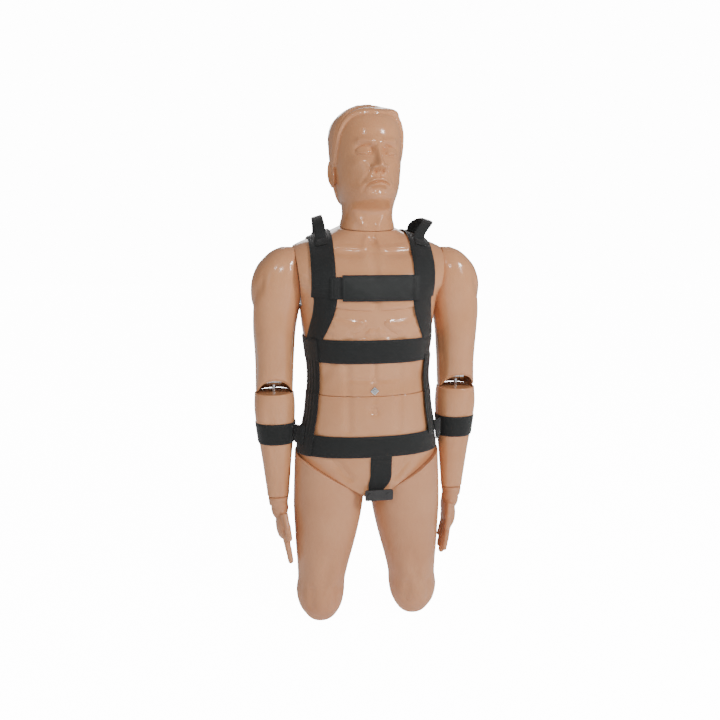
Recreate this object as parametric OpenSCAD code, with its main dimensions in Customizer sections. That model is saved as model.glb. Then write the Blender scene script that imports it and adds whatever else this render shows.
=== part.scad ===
// Jointed display mannequin without lower legs, in a webbing harness with lift loops.
// It faces -Y, and the rounded ends of its thighs are at z = 0.

/* [Body] */
// Width between the two shoulder seams, at the height of the shoulder joint
torso_w = 348; // [300:1:420]
// Depth of the chest from front to back, harness left out
torso_d = 242; // [210:1:300]
// Height of the torso shell, from the waist seam to the neck seam
torso_h = 394; // [340:1:480]
// Height of the chest, from the armpits to the neck seam, which keeps its shape
chest_h = 157.6; // [140:0.2:170]
// Height of the waist seam above the ends of the thighs
waist_z = 602; // [520:1:720]
// Height of the hip seam's inner end above the ends of the thighs
crotch_z = 345; // [290:1:415]
// Height of the head and neck moulding
head_h = 276; // [240:1:335]
// Wall thickness of every moulded shell
wall = 4; // [2.5:0.5:5]
// Gap at the seams between shells that move on each other
seam_gap = 0.8; // [0.5:0.1:2]

/* [Arms] */
// Height of the shoulder joint below the neck seam
shoulder_drop = 91; // [84:1:100]
// Distance from the shoulder joint down to the elbow pin
upper_arm_l = 279; // [235:1:330]
// Distance from the elbow pin down to the wrist seam
forearm_l = 291; // [245:1:350]
// Length of the hand, from the wrist seam to the tip of the middle finger
hand_l = 188; // [160:1:225]
// Thickness of the upper arm at the biceps, from side to side
arm_w = 111; // [100:1:122]
// Radius that the ends of the elbow cheeks turn in, round the elbow pin
elbow_r = 26; // [22:1:30]
// Furthest bend of the elbow, in degrees
elbow_bend = 45; // [30:1:50]

/* [Hardware] */
// Radius of the shoulder studs
shoulder_stud_r = 10; // [6:0.5:14]
// Radius of the neck stud
neck_stud_r = 12; // [8:0.5:18]
// Radius of the hip bolts
hip_bolt_r = 8; // [5:0.5:12]
// Radius of the wrist studs
wrist_stud_r = 6; // [4:0.5:9]
// Radius of the elbow pins
elbow_pin_r = 4; // [3:0.25:6]
// Radial clearance between a stud or pin and the plate that turns on it
running_fit = 0.06; // [0.02:0.01:0.1]
// Radius of the waist screws
screw_r = 2.5; // [1.5:0.25:4]
// Side of the square washer under each waist screw
washer_side = 15; // [10:1:20]

/* [Harness] */
// Thickness of the webbing
web_t = 2.4; // [1.5:0.1:3]
// Width of the shoulder straps
shoulder_strap_w = 54; // [40:1:60]
// Width of the chest strap
chest_strap_w = 50; // [35:1:55]
// Height of the panel that is sewn over the chest strap
chest_panel_h = 59; // [45:1:70]
// Width of the mid strap
mid_strap_w = 56; // [40:1:65]
// Width of the waist strap
waist_strap_w = 54; // [40:1:60]
// Width of the side straps
side_strap_w = 38; // [25:1:45]
// Width of the crotch strap
crotch_strap_w = 52; // [35:1:60]
// Width of the lift loops
lift_loop_w = 25; // [18:1:32]
// Width of the forearm cuffs
cuff_w = 52; // [38:1:60]

/* [Hidden] */
$fn = 48;

// ---- places that follow from the sizes above
neck_z = waist_z + torso_h;
shoulder_z = neck_z - shoulder_drop;
elbow_z = shoulder_z - upper_arm_l;
wrist_z = elbow_z - forearm_l;
shoulder_x = torso_w / 2;
seam_lean = 7;
elbow_x = shoulder_x + 56;
wrist_x = elbow_x - 6;
pelvis_h = waist_z - crotch_z;
neck_slope = 0.2;
neck_tilt = atan(neck_slope);
neck_axis_y = 5;
crotch_x = 12;
hip_slope = 0.61;
hip_tilt = atan(hip_slope);
hip_x = 92;
hip_y = 8;
hip_z = crotch_z + (hip_x - crotch_x) * hip_slope;
chest_strap_z = neck_z - 139;
mid_strap_z = waist_z + 107;
waist_strap_z = waist_z - 124;
screw_z = waist_z + 13;
web_gap = 1.6;
cuff_z = elbow_z - 125;
cuff_gap = 1;
sides = 36;
limb_sides = 24;

// ---- moulded sections
// Stations run upwards. Each is [height, half width, front depth, back depth], in percent
// of torso_h, torso_w and torso_d.
torso_stations = [
  [-2, 43.0, 44.6, 36.6], [10, 42.4, 43.9, 36.4], [25, 43.8, 46.3, 39.3],
  [40, 46.0, 49.6, 43.0], [53, 47.9, 52.1, 46.3], [60, 50.0, 52.1, 47.5],
  [66, 56.5, 50.8, 47.9], [73, 60.5, 47.9, 47.9], [82, 60.0, 39.7, 44.6],
  [88.5, 52.0, 32.2, 40.5], [93.5, 38.5, 28.1, 35.5], [97, 26.6, 24.8, 31.4],
  [100, 19.5, 23.1, 28.1], [102, 19.0, 23.0, 28.0]
];
// The same for the pelvis, with its heights in percent of pelvis_h, down from the waist.
pelvis_stations = [
  [-5, 43.0, 44.6, 36.6], [20, 44.8, 44.6, 38.0], [40, 47.7, 43.0, 44.6],
  [56, 49.7, 40.5, 50.4], [68, 50.3, 38.0, 52.9], [85, 50.3, 37.5, 51.0],
  [105, 50.0, 36.5, 47.0]
];
// Head stations: height in percent of head_h, then half width, front and back in mm.
head_stations = [
  [-2, 67, 57, 67], [3, 65, 56, 65], [8, 61.5, 56, 62], [14, 61, 62, 64], [19.5, 62, 92, 69],
  [26, 68, 107, 78], [35, 73, 112, 92], [46, 76, 114, 102], [57, 79, 111, 108],
  [68, 81, 108, 110], [78, 82, 104, 106], [87, 75, 92, 93], [93.5, 58, 69, 69],
  [98, 36, 42, 42], [100, 14, 16, 16]
];
// Upper arm: height in percent from the elbow pin (0) to the shoulder joint (100), inner and
// outer edge in percent of arm_w out from the shoulder seam, front and back depth in mm.
arm_stations = [
  [-12, 10, 91, 46, 50], [5, 8, 90, 50, 52], [25, 5, 91, 54, 56], [45, 1, 94, 57, 58],
  [60, -6, 96, 60, 60], [75, -15, 96, 65, 63], [88, -22, 92, 67, 66], [100, -22, 81, 65, 66],
  [108, -20, 64, 56, 58], [113, -14, 48, 42, 42], [116, -6, 30, 24, 24]
];
// Forearm: height in percent from the wrist seam (0) to the elbow pin (100), half width,
// front and back depth in mm.
forearm_stations = [
  [-2, 27, 21, 23], [5, 28, 22, 24], [15, 31, 26, 29], [32, 36, 33, 36], [50, 42, 39, 41],
  [68, 47, 44, 45], [82, 49, 47, 48], [92, 47.5, 46, 48], [100, 46, 45, 47]
];
// Thigh: height in percent of crotch_z, centre line, half width, front and back in mm.
thigh_stations = [
  [0, 120, 16, 18, 10], [2, 120, 30, 34, 22], [6, 120, 42, 48, 32], [13, 121, 55, 62, 46],
  [22, 121, 61, 68, 54], [32, 118, 60, 69, 56], [44, 114, 65, 74, 62], [58, 109, 73, 81, 72],
  [72, 104, 80, 86, 82], [87, 100, 86, 90, 92], [101, 97, 88, 92, 104], [130, 94, 87, 92, 114]
];

// Index of the station below height h
function below(t, h) = max([0, for (i = [0:len(t) - 2]) if (t[i][0] <= h) i]);
// Slope of column c at station i, from its neighbours
function slope(t, i, c) =
  let (a = max(i - 1, 0), b = min(i + 1, len(t) - 1))
  (t[b][c] - t[a][c]) / (t[b][0] - t[a][0]);
// Column c of a station table at height h, on a smooth (Hermite) curve
function smooth(t, h, c) =
  let (i = below(t, h), w = t[i + 1][0] - t[i][0], u = min(max((h - t[i][0]) / w, 0), 1))
  t[i][c] * (1 + 2 * u) * (1 - u) * (1 - u) + t[i + 1][c] * u * u * (3 - 2 * u)
  + w * slope(t, i, c) * u * (1 - u) * (1 - u) - w * slope(t, i + 1, c) * u * u * (1 - u);
function signed_power(v, p) = sign(v) * pow(abs(v), p);
// Point of a rounded section at angle a: half width w, front depth f and back depth b
function section(a, w, f, b, roundness) = [
  w * signed_power(cos(a), 2 / roundness),
  (sin(a) < 0 ? f : b) * signed_power(sin(a), 2 / roundness)
];
function mix(a, b, u) = a + (b - a) * u;

// ---- solids from rings
// Strip of triangles that closes a ring whose points i and n - i face each other
function lid_faces(base, n, turn) = [
  for (i = [0:n / 2 - 1])
    let (a = base + i, b = base + i + 1, c = base + n - i - 1, d = base + (n - i) % n)
    each turn
      ? concat(i < n / 2 - 1 ? [[c, b, a]] : [], i > 0 ? [[d, c, a]] : [])
      : concat(i < n / 2 - 1 ? [[a, b, c]] : [], i > 0 ? [[a, c, d]] : [])
];
// Faces between following rings of n points
function side_faces(rings, n, turn) = [
  for (j = [0:rings - 2], i = [0:n - 1])
    let (a = j * n + i, b = j * n + (i + 1) % n, c = (j + 1) * n + (i + 1) % n, d = (j + 1) * n + i)
    each turn ? [[a, b, c], [a, c, d]] : [[a, d, c], [a, c, b]]
];
// Faces that close a level ring with a fan about its middle point
function sum(v, i = 0) = i < len(v) ? v[i] + sum(v, i + 1) : 0;
function fan_faces(base, n, mid, turn) = [
  for (i = [0:n - 1])
    let (a = base + i, b = base + (i + 1) % n)
    turn ? [b, a, mid] : [a, b, mid]
];
function middle(ring) = [for (k = [0:2]) sum([for (p = ring) p[k]]) / len(ring)];
// Cup: its rings run up the outside from the closed end and back down the inside. turn is
// true when the closed end is on top. Level lids are a fan about their middle.
module cup(rings, turn = false, level = false) {
  n = len(rings[0]);
  m = len(rings) * n;
  polyhedron(
    points = concat([for (r = rings) each r],
      level ? [middle(rings[0]), middle(rings[len(rings) - 1])] : []),
    faces = concat(side_faces(len(rings), n, turn),
      level ? fan_faces(0, n, m, turn) : lid_faces(0, n, turn),
      level ? fan_faces(m - n, n, m + 1, !turn) : lid_faces(m - n, n, !turn)),
    convexity = 6);
}
// Sleeve, open at both ends: outer rings upwards, then inner rings downwards
module sleeve(rings) {
  n = len(rings[0]);
  closed = concat(rings, [rings[0]]);
  m = len(rings);
  polyhedron(
    points = [for (r = rings) each r],
    faces = [for (f = side_faces(m + 1, n, false)) [for (v = f) v % (m * n)]],
    convexity = 6);
}
// Sheet with thickness: two grids of the same rows and columns, outer and inner
module slab(outer, inner) {
  rows = len(outer);
  cols = len(outer[0]);
  n = rows * cols;
  rim = concat(
    [for (i = [0:cols - 2]) i],
    [for (j = [0:rows - 2]) j * cols + cols - 1],
    [for (i = [cols - 1:-1:1]) (rows - 1) * cols + i],
    [for (j = [rows - 1:-1:1]) j * cols]);
  polyhedron(
    points = concat([for (r = outer) each r], [for (r = inner) each r]),
    faces = concat(
      [for (j = [0:rows - 2], i = [0:cols - 2]) let (a = j * cols + i, c = a + cols + 1)
        each [[a, a + cols, c], [a, c, a + 1]]],
      [for (j = [0:rows - 2], i = [0:cols - 2]) let (a = n + j * cols + i, c = a + cols + 1)
        each [[a, c, a + cols], [a, a + 1, c]]],
      [for (k = [0:len(rim) - 1]) let (a = rim[k], b = rim[(k + 1) % len(rim)])
        each [[a, b, b + n], [a, b + n, a + n]]]),
    convexity = 6);
}

// ---- surfaces
torso_round = 2.35;
limb_round = 2.2;
neck_blend = 92;
function fade(u) = let (v = min(max(u, 0), 1)) v * v * (3 - 2 * v);
seam_foot = 75;
trunk_foot = 94;
// The shoulder seam's plane, which is upright below its foot on the arm, and opens outwards
// below a lower foot on the trunk, past the circle that the arm's flat face sweeps
function seam_x(z) = shoulder_x + max(z - shoulder_z, -seam_foot) * tan(seam_lean);
function trunk_limit(z) = shoulder_x + max(z - shoulder_z, -trunk_foot) * tan(seam_lean)
  + max(shoulder_z - trunk_foot - z, 0) * 0.6;
// Half width, front or back depth (c = 1, 2, 3) of the trunk at height z, grown by off
// Percent of the torso's height at a height above the waist: the chest stays as it is, and
// the belly takes up a change of torso_h
function torso_share(up) =
  let (belly_h = torso_h - chest_h)
  up < belly_h ? up / belly_h * 60 : 60 + (up - belly_h) / chest_h * 40;
function trunk(z, c, off) =
  let (span = c == 1 ? torso_w : torso_d, up = z - off)
  off + span / 100 * (up >= waist_z
    ? smooth(torso_stations, torso_share(up - waist_z), c)
    : smooth(pelvis_stations, (waist_z - up) / pelvis_h * 100, c));
function neck_rise(z) = neck_slope * fade((z - neck_z + neck_blend) / neck_blend);
// Point of the trunk's surface at height z and angle a round it, before the neck's tilt
function trunk_flat(z, a, off) =
  section(a, trunk(z, 1, off), trunk(z, 2, off), trunk(z, 3, off), torso_round);
function trunk_point(z, a, off) =
  let (p = trunk_flat(z, a, off), lim = trunk_limit(z) - seam_gap / 2 + min(off, 0))
  [min(max(p[0], -lim), lim), p[1], z + neck_rise(z) * p[1]];
// Floor of the pelvis: the two hip seams and the narrow strip between them
function hip_floor(x) = crotch_z + max(abs(x) - crotch_x, 0) * hip_slope;
function pelvis_point(u, a, off, lift) =
  let (top = waist_z - seam_gap / 2,
    p = trunk_flat(mix(crotch_z + 60, top, u), a, off),
    q = trunk_flat(mix(hip_floor(p[0]), top, u), a, off))
  [q[0], q[1], mix(hip_floor(q[0]) + seam_gap / 2 + lift, top, u)];
function head_point(h, a, off) =
  let (p = section(a, smooth(head_stations, h, 1) + off, smooth(head_stations, h, 2) + off,
      smooth(head_stations, h, 3) + off, limb_round),
    k = neck_slope * (1 - fade(h / 25)))
  [p[0], p[1], neck_z + seam_gap + h / 100 * head_h + k * p[1] + (h > 90 ? off : 0)];
// Upper arm, on the +X side
function arm_point(h, a, off) =
  let (inner = smooth(arm_stations, h, 1) * arm_w / 100,
    outer = smooth(arm_stations, h, 2) * arm_w / 100,
    z = elbow_z + h / 100 * upper_arm_l + (h > 105 ? off : 0),
    p = section(a, (outer - inner) / 2 + off, smooth(arm_stations, h, 3) + off,
      smooth(arm_stations, h, 4) + off, limb_round))
  [max(p[0] + shoulder_x + (inner + outer) / 2, seam_x(z) + seam_gap / 2 - off), p[1], z];
// Depth of the cheeks' lower edge below the elbow pin, at y: the forearm's flat top, turned
// about the pin from straight to fully bent, never reaches past it
function cheek_depth(y) =
  let (p = -y)
  p <= 0 ? elbow_r
  : p < elbow_r * sin(elbow_bend) ? sqrt(elbow_r * elbow_r - p * p)
  : (elbow_r - p * sin(elbow_bend)) / cos(elbow_bend);
function arm_edge_point(a, off) =
  let (p = arm_point(-4, a, off)) [p[0], p[1], elbow_z - cheek_depth(p[1])];
forearm_top = (forearm_l - elbow_r - seam_gap) / forearm_l * 100;
function forearm_point(h, a, off) =
  let (p = section(a, smooth(forearm_stations, h, 1) + off, smooth(forearm_stations, h, 2) + off,
    smooth(forearm_stations, h, 3) + off, limb_round))
  [p[0] + mix(wrist_x, elbow_x, h / 100), p[1], wrist_z + h / 100 * forearm_l];
function thigh_flat(h, a, off) =
  let (p = section(a, smooth(thigh_stations, h, 2) + off, smooth(thigh_stations, h, 3) + off,
    smooth(thigh_stations, h, 4) + off, limb_round))
  [p[0] + smooth(thigh_stations, h, 1), p[1], h / 100 * crotch_z - (h < 5 ? off : 0)];
function hip_cut(x) = crotch_z + (x - crotch_x) * hip_slope - seam_gap / 2;
function thigh_top(u, a, off) =
  let (p = thigh_flat(118, a, off), q = thigh_flat(hip_cut(p[0]) / crotch_z * 100, a, off),
    low = thigh_flat(82, a, off))
  [mix(low[0], q[0], u), mix(low[1], q[1], u), mix(low[2], hip_cut(q[0]), u)];
function turn_of(n) = [for (i = [0:n - 1]) i * 360 / n];
function ring_of(n, f) = [for (a = turn_of(n)) f(a)];

module on_side(s) {
  if (s > 0) children();
  else mirror([1, 0, 0]) children();
}
// Frame of a joint on the +X side: its origin on the joint's axis, +Z along the axis
module at_shoulder() translate([shoulder_x, 0, shoulder_z]) rotate([0, 90 + seam_lean, 0]) children();
module at_neck()
  translate([0, neck_axis_y, neck_z + neck_axis_y * neck_slope]) rotate([neck_tilt, 0, 0]) children();
module at_hip() translate([hip_x, hip_y, hip_z]) rotate([0, -hip_tilt, 0]) children();
module at_elbow() translate([elbow_x, 0, elbow_z]) children();
module at_wrist() translate([wrist_x, 0, wrist_z]) children();
module drum(r, z1, z2) translate([0, 0, z1]) cylinder(r = r, h = z2 - z1);
module drilled_drum(r, hole, z1, z2) {
  difference() {
    drum(r, z1, z2);
    drum(hole, z1 - 1, z2 + 1);
  }
}
skin = [0.82, 0.66, 0.54];
webbing = [0.13, 0.13, 0.13];
steel = [0.72, 0.72, 0.74];

// ---- shells
shell_clear = 0.4;
torso_levels = [0, 10, 24, 38, 49, 57.5, 64, 71, 79, 85, 89, 92, 94.5, 96.5, 98.3, 100];
torso_inner_levels = [0, 24, 49, 57.5, 64, 73, 82, 88, 92, 96, 100];
module torso_shell() color(skin) difference() {
  sleeve(concat(
    [for (h = torso_levels) let (z = waist_z + seam_gap / 2 + h / 100 * (torso_h - seam_gap))
      ring_of(sides, function (a) trunk_point(z, a, 0))],
    [for (i = [len(torso_inner_levels) - 1:-1:0])
      let (z = waist_z + seam_gap / 2 + torso_inner_levels[i] / 100 * (torso_h - seam_gap))
      ring_of(sides, function (a) trunk_point(z, a, -wall))]));
  for (s = [-1, 1]) on_side(s) at_shoulder() drum(shoulder_stud_r + shell_clear, -wall - 6, 6);
}
module pelvis_shell() color(skin) difference() {
  cup(concat(
    [for (u = [0, 0.04, 0.15, 0.3, 0.45, 0.6, 0.75, 0.88, 1])
      ring_of(sides, function (a) pelvis_point(u, a, 0, 0))],
    [for (u = [1, 0.85, 0.6, 0.35, 0.15, 0])
      ring_of(sides, function (a) pelvis_point(u, a, -wall, u == 1 ? 0 : wall))]));
  for (s = [-1, 1]) on_side(s) at_hip() drum(hip_bolt_r + shell_clear, -6, wall + 6);
}
head_levels = [100, 98, 93.5, 87, 78, 68, 57, 46, 35, 28, 23, 19.5, 17, 14, 9, 4, 0];
module head_shell() color(skin)
  cup(concat(
    [for (h = head_levels) ring_of(sides, function (a) head_point(h, a, 0))],
    [for (h = [0, 8, 14, 17, 20, 28, 46, 64, 82, 92, 96])
      ring_of(sides, function (a) head_point(h, a, -wall))]), turn = true);
arm_levels = [116, 115, 112, 107, 100, 90, 77, 62, 45, 28, 12];
module upper_arm(s) color(skin) on_side(s) difference() {
  cup(concat(
    [for (h = arm_levels) ring_of(limb_sides, function (a) arm_point(h, a, 0))],
    [ring_of(limb_sides, function (a) arm_edge_point(a, 0))],
    [ring_of(limb_sides, function (a) arm_edge_point(a, -wall))],
    [for (h = [12, 40, 66, 84, 98, 106, 112])
      ring_of(limb_sides, function (a) arm_point(h, a, -wall))]), turn = true, level = true);
  at_shoulder() drum(shoulder_stud_r + shell_clear, -6, wall + 6);
}
module forearm(s) color(skin) on_side(s) difference() {
  cup(concat(
    [for (h = [0, 8, 20, 35, 50, 64, 78, forearm_top])
      ring_of(limb_sides, function (a) forearm_point(h, a, 0))],
    [for (h = [forearm_top, 64, 35, 100 * wall / forearm_l])
      ring_of(limb_sides, function (a) forearm_point(h, a, -wall))]));
  at_wrist() drum(wrist_stud_r + running_fit, -1, wall + 1);
}
module thigh(s) color(skin) on_side(s)
  cup(concat(
    [for (h = [0, 1, 3, 7, 14, 24, 36, 50, 66, 82])
      ring_of(limb_sides, function (a) thigh_flat(h, a, 0))],
    [for (u = [0.5, 1]) ring_of(limb_sides, function (a) thigh_top(u, a, 0))],
    [for (u = [1, 0.5]) ring_of(limb_sides, function (a) thigh_top(u, a, -wall))],
    [for (h = [82, 55, 30, 12, 4])
      ring_of(limb_sides, function (a) thigh_flat(h, a, -wall))]));

// ---- hand
// Each digit is [knuckle, middle, tip] as [x, y, z] from the wrist, and its radius, on a hand
// 188 long that is drawn to hand_l
hand_drawn = 188;
digits = [
  [[-16, -30, -96], [-24, -36, -132], [-27, -34, -164], 8.5],
  [[-14, -12, -100], [-24, -14, -140], [-29, -12, -179], 9],
  [[-13, 7, -98], [-23, 8, -136], [-28, 8, -172], 8.5],
  [[-11, 24, -92], [-19, 27, -124], [-24, 26, -150], 7.5],
  [[-12, -30, -38], [-21, -46, -70], [-24, -50, -104], 9.5]
];
module knot(p, r) translate(p) sphere(r = r, $fn = 10);
module hand(s) color(skin) on_side(s) at_wrist() scale(hand_l / hand_drawn) {
  hull() {
    translate([0, 0, -3.4]) cylinder(r = 22, h = 3, $fn = 24);
    knot([-2, 1, -24], 21);
  }
  hull() {
    knot([-2, 0, -24], 20);
    for (d = [0:3]) knot(digits[d][0], digits[d][3] + 2.5);
    knot([-8, -26, -50], 12);
  }
  for (d = digits, k = [0, 1]) hull() {
    knot(d[k], d[3] - k);
    knot(d[k + 1], d[3] - 1 - k);
  }
}

// ---- joint hardware
plate_t = 8;
shoulder_plate_r = 32;
arm_plate_r = 25;
neck_plate_r = 52;
neck_plate_t = 10;
hip_plate_t = 10;
nut_t = 8;
module shoulder_plate(s) color(steel) on_side(s) at_shoulder()
  drilled_drum(shoulder_plate_r, shoulder_stud_r + running_fit,
    -wall - plate_t - 2.5, -wall - 2.5);
module arm_plate(s) color(steel) on_side(s) at_shoulder()
  drilled_drum(arm_plate_r, shoulder_stud_r, wall + 2.5, wall + plate_t + 2.5);
module shoulder_stud(s) color(steel) on_side(s) at_shoulder() {
  drum(shoulder_stud_r, -wall - plate_t - 4.5 - nut_t, wall + plate_t + 2.5);
  drum(shoulder_stud_r + 7, -wall - plate_t - 4.5 - nut_t, -wall - plate_t - 3.5);
  drum(shoulder_stud_r + 7, wall + plate_t + 2.6, wall + plate_t + 2.5 + nut_t);
}
module neck_plate() color(steel) at_neck()
  drilled_drum(neck_plate_r, neck_stud_r + running_fit, -neck_plate_t - 3, -3);
module neck_stud() color(steel) at_neck() {
  drum(neck_stud_r, -neck_plate_t - 4 - nut_t, 6);
  drum(neck_stud_r + 8, -neck_plate_t - 4 - nut_t, -neck_plate_t - 4);
  drum(neck_plate_r, 3, 11);
}
collar_h = 44;
collar_t = 6;
screw_angles = [-90, -25, -155, 90, 25, 155];
function collar_ring(z, off) = ring_of(sides, function (a) let (p = trunk_flat(waist_z, a, off))
  [p[0], p[1], z]);
module at_screw(a) {
  p = trunk_flat(screw_z, a, 0);
  q = trunk_flat(screw_z, a + 1, 0);
  r = trunk_flat(screw_z, a - 1, 0);
  translate([p[0], p[1], screw_z]) rotate([0, 0, atan2(q[1] - r[1], q[0] - r[0]) - 90])
    rotate([0, 90, 0]) children();
}
module waist_collar() color([0.3, 0.3, 0.32]) difference() {
  sleeve([for (k = [[-0.5, -wall - 1.5], [0.5, -wall - 1.5], [0.5, -wall - 1.5 - collar_t],
    [-0.5, -wall - 1.5 - collar_t]]) collar_ring(waist_z + k[0] * collar_h, k[1])]);
  for (a = screw_angles) at_screw(a) drum(screw_r, -30, 5);
}
washer_t = 1.4;
washer_lift = 1.2;
module waist_screws() color(steel) for (a = screw_angles) at_screw(a) {
  drum(screw_r, -wall - 1.5 - collar_t - 2, washer_lift + washer_t);
  drum(screw_r * 1.8, washer_lift + washer_t + 0.05, washer_lift + washer_t + 2);
  drum(screw_r, washer_lift + washer_t - 0.1, washer_lift + washer_t + 0.1);
}
module waist_washers() color(steel) for (a = screw_angles) at_screw(a) difference() {
  translate([-washer_side / 2, -washer_side / 2, washer_lift])
    cube([washer_side, washer_side, washer_t]);
  drum(screw_r + 0.1, 0, 6);
}
ear_in = 8;
ear_t = 5;
ear_r = 11;
clevis_top = 36;
mount_r = 37;
module along_x() rotate([0, 90, 0]) children();
module elbow_clevis(s) color(steel) on_side(s) at_elbow() {
  translate([0, 0, clevis_top]) cylinder(r = mount_r, h = 6);
  for (k = [-1, 1]) difference() {
    union() {
      translate([k > 0 ? ear_in : -ear_in - ear_t, -ear_r, 0])
        cube([ear_t, 2 * ear_r, clevis_top + 0.5]);
      along_x() drum(ear_r, k > 0 ? ear_in : -ear_in - ear_t, k > 0 ? ear_in + ear_t : -ear_in);
    }
    along_x() drum(elbow_pin_r + running_fit, -30, 30);
  }
}
module elbow_pin(s) color(steel) on_side(s) at_elbow() along_x() {
  reach = ear_in + ear_t + 0.3;
  drum(elbow_pin_r, -reach - 1, reach + 1);
  drum(elbow_pin_r + 3, -reach - 4, -reach);
  drum(elbow_pin_r + 3, reach, reach + 4);
}
eye_r = 10;
eye_half = 7;
shank_r = 5;
plug_gap = 1.2;
plug_t = 9;
module elbow_eye(s) color(steel) on_side(s) at_elbow() difference() {
  union() {
    along_x() drum(eye_r, -eye_half, eye_half);
    drum(shank_r, -elbow_r - plug_gap - plug_t - 12, -eye_r + 3);
  }
  along_x() drum(elbow_pin_r + running_fit, -30, 30);
}
plug_r = 45 - wall;
module forearm_plug(s) color(skin) on_side(s) at_elbow() difference() {
  translate([0, 0, -elbow_r - plug_gap - plug_t]) rotate_extrude()
    polygon([[0, 0], [plug_r, 0], [plug_r, plug_t - 3], [plug_r - 4, plug_t - 1], [0, plug_t]]);
  drum(shank_r, -elbow_r - plug_gap - plug_t - 1, 0);
}
module wrist_stud(s) color(steel) on_side(s) at_wrist() {
  drum(wrist_stud_r, -14, wall + 2);
  drum(wrist_stud_r + 6, wall + 1, wall + 6);
}
module hip_bolt(s) color(steel) on_side(s) at_hip() {
  reach = hip_plate_t + 5;
  drum(hip_bolt_r, -reach - nut_t, wall + 3);
  drum(hip_bolt_r + 7, wall + 2, wall + 2 + nut_t);
  drum(hip_bolt_r + 7, -reach - nut_t, -reach + 0.5);
}
plate_inset = 16;
module thigh_plate(s) color(steel) on_side(s) at_hip() difference() {
  translate([0, 0, -hip_plate_t - 3]) linear_extrude(hip_plate_t)
    polygon([for (a = turn_of(limb_sides)) let (p = thigh_flat(118, a, -wall - plate_inset))
      [(p[0] - hip_x) / cos(hip_tilt), p[1] - hip_y]]);
  drum(hip_bolt_r + running_fit, -hip_plate_t - 4, 0);
}

// ---- harness
shoulder_strap_x = 118;
across = 4;
along = 12;
lap = 0.6;
// Height at which the trunk is only 2 x wide, near the top of the shoulder
function crest_z(x, off) = max([for (z = [shoulder_z - 30:0.5:neck_z + 12])
  if (trunk(z, 1, off) >= x) z]);
// Point of a strap that runs over the shoulder at x: t goes from -1, its front end, through
// 0, the crest, to 1, its rear end
function over_point(x, t, off, front_z, rear_z) =
  let (low = t < 0 ? front_z : rear_z, top = crest_z(x, off),
    z = low + (top - low) * sin(90 * (1 - abs(t))),
    w = max(1 - pow(min(x / trunk(z, 1, off), 1), torso_round), 0),
    y = sign(t) * trunk(z, t < 0 ? 2 : 3, off) * pow(w, 1 / torso_round))
  [x, y, z + neck_rise(z) * y];
front_end_z = chest_strap_z - 22;
rear_end_z = mid_strap_z + mid_strap_w / 2 + 2;
function strap_xs(w) = [for (i = [0:across]) shoulder_strap_x + w * (i / across - 0.5)];
function over_grid(w, off) = [for (j = [-along:along])
  [for (x = strap_xs(w)) over_point(x, j / along, off, front_end_z, rear_end_z)]];
module shoulder_strap(s) color(webbing) on_side(s)
  slab(over_grid(shoulder_strap_w, web_gap + web_t), over_grid(shoulder_strap_w, web_gap));
// Lift loop: an arch of webbing on top of the shoulder strap
loop_front_t = -0.2;
loop_rear_t = 0.06;
loop_h = 44;
function loop_point(x, a, grow) =
  let (off = web_gap + web_t + lap,
    p = over_point(x, loop_front_t, off, front_end_z, rear_end_z),
    q = over_point(x, loop_rear_t, off, front_end_z, rear_end_z),
    e = (q - p) / 2, k = 1 + grow / norm(e))
  (p + q) / 2 - e * k * cos(a) + [0, 0, (loop_h + grow) * sin(a)];
module lift_loop(s) color(webbing) on_side(s)
  slab([for (a = [0:18:180]) [for (x = strap_xs(lift_loop_w)) loop_point(x, a, 0)]],
    [for (a = [0:18:180]) [for (x = strap_xs(lift_loop_w)) loop_point(x, a, -web_t)]]);
// Patch of webbing on the trunk: its lower edge runs from angle low[0] to low[1] at height
// z1, its upper edge from high[0] to high[1] at height z2
function patch(z1, z2, low, high, off, rows, cols) = [for (j = [0:rows]) [for (i = [0:cols])
  trunk_point(mix(z1, z2, j / rows), mix(mix(low[0], low[1], i / cols),
    mix(high[0], high[1], i / cols), j / rows), off)]];
module web_patch(z1, z2, low, high, layer, rows, cols) color(webbing)
  slab(patch(z1, z2, low, high, web_gap + web_t + layer * (web_t + lap), rows, cols),
    patch(z1, z2, low, high, web_gap + layer * (web_t + lap), rows, cols));
// Strip of webbing across the front, between x1 and x2
function front_grid(x1, x2, z1, z2, off, rows, cols) = [for (j = [0:rows]) [for (i = [0:cols])
  let (z = mix(z1, z2, j / rows), x = mix(x1, x2, i / cols), w = trunk(z, 1, off))
  [x, -trunk(z, 2, off) * pow(1 - pow(abs(x) / w, torso_round), 1 / torso_round), z]]];
module front_strip(x1, x2, z1, z2, layer, rows, cols) color(webbing)
  slab(front_grid(x1, x2, z1, z2, web_gap + web_t + layer * (web_t + lap), rows, cols),
    front_grid(x1, x2, z1, z2, web_gap + layer * (web_t + lap), rows, cols));
chest_end = shoulder_strap_x - shoulder_strap_w / 2 - lap;
panel_left = -77;
module chest_strap()
  front_strip(-chest_end, chest_end, chest_strap_z - chest_strap_w / 2,
    chest_strap_z + chest_strap_w / 2, 0, 2, 14);
module chest_panel()
  front_strip(panel_left, chest_end, chest_strap_z - chest_panel_h / 2,
    chest_strap_z + chest_panel_h / 2, 1, 2, 12);
mid_top = mid_strap_z + mid_strap_w / 2;
mid_bottom = mid_strap_z - mid_strap_w / 2;
waist_top = waist_strap_z + waist_strap_w / 2;
waist_bottom = waist_strap_z - waist_strap_w / 2;
side_mid = -24;
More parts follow.
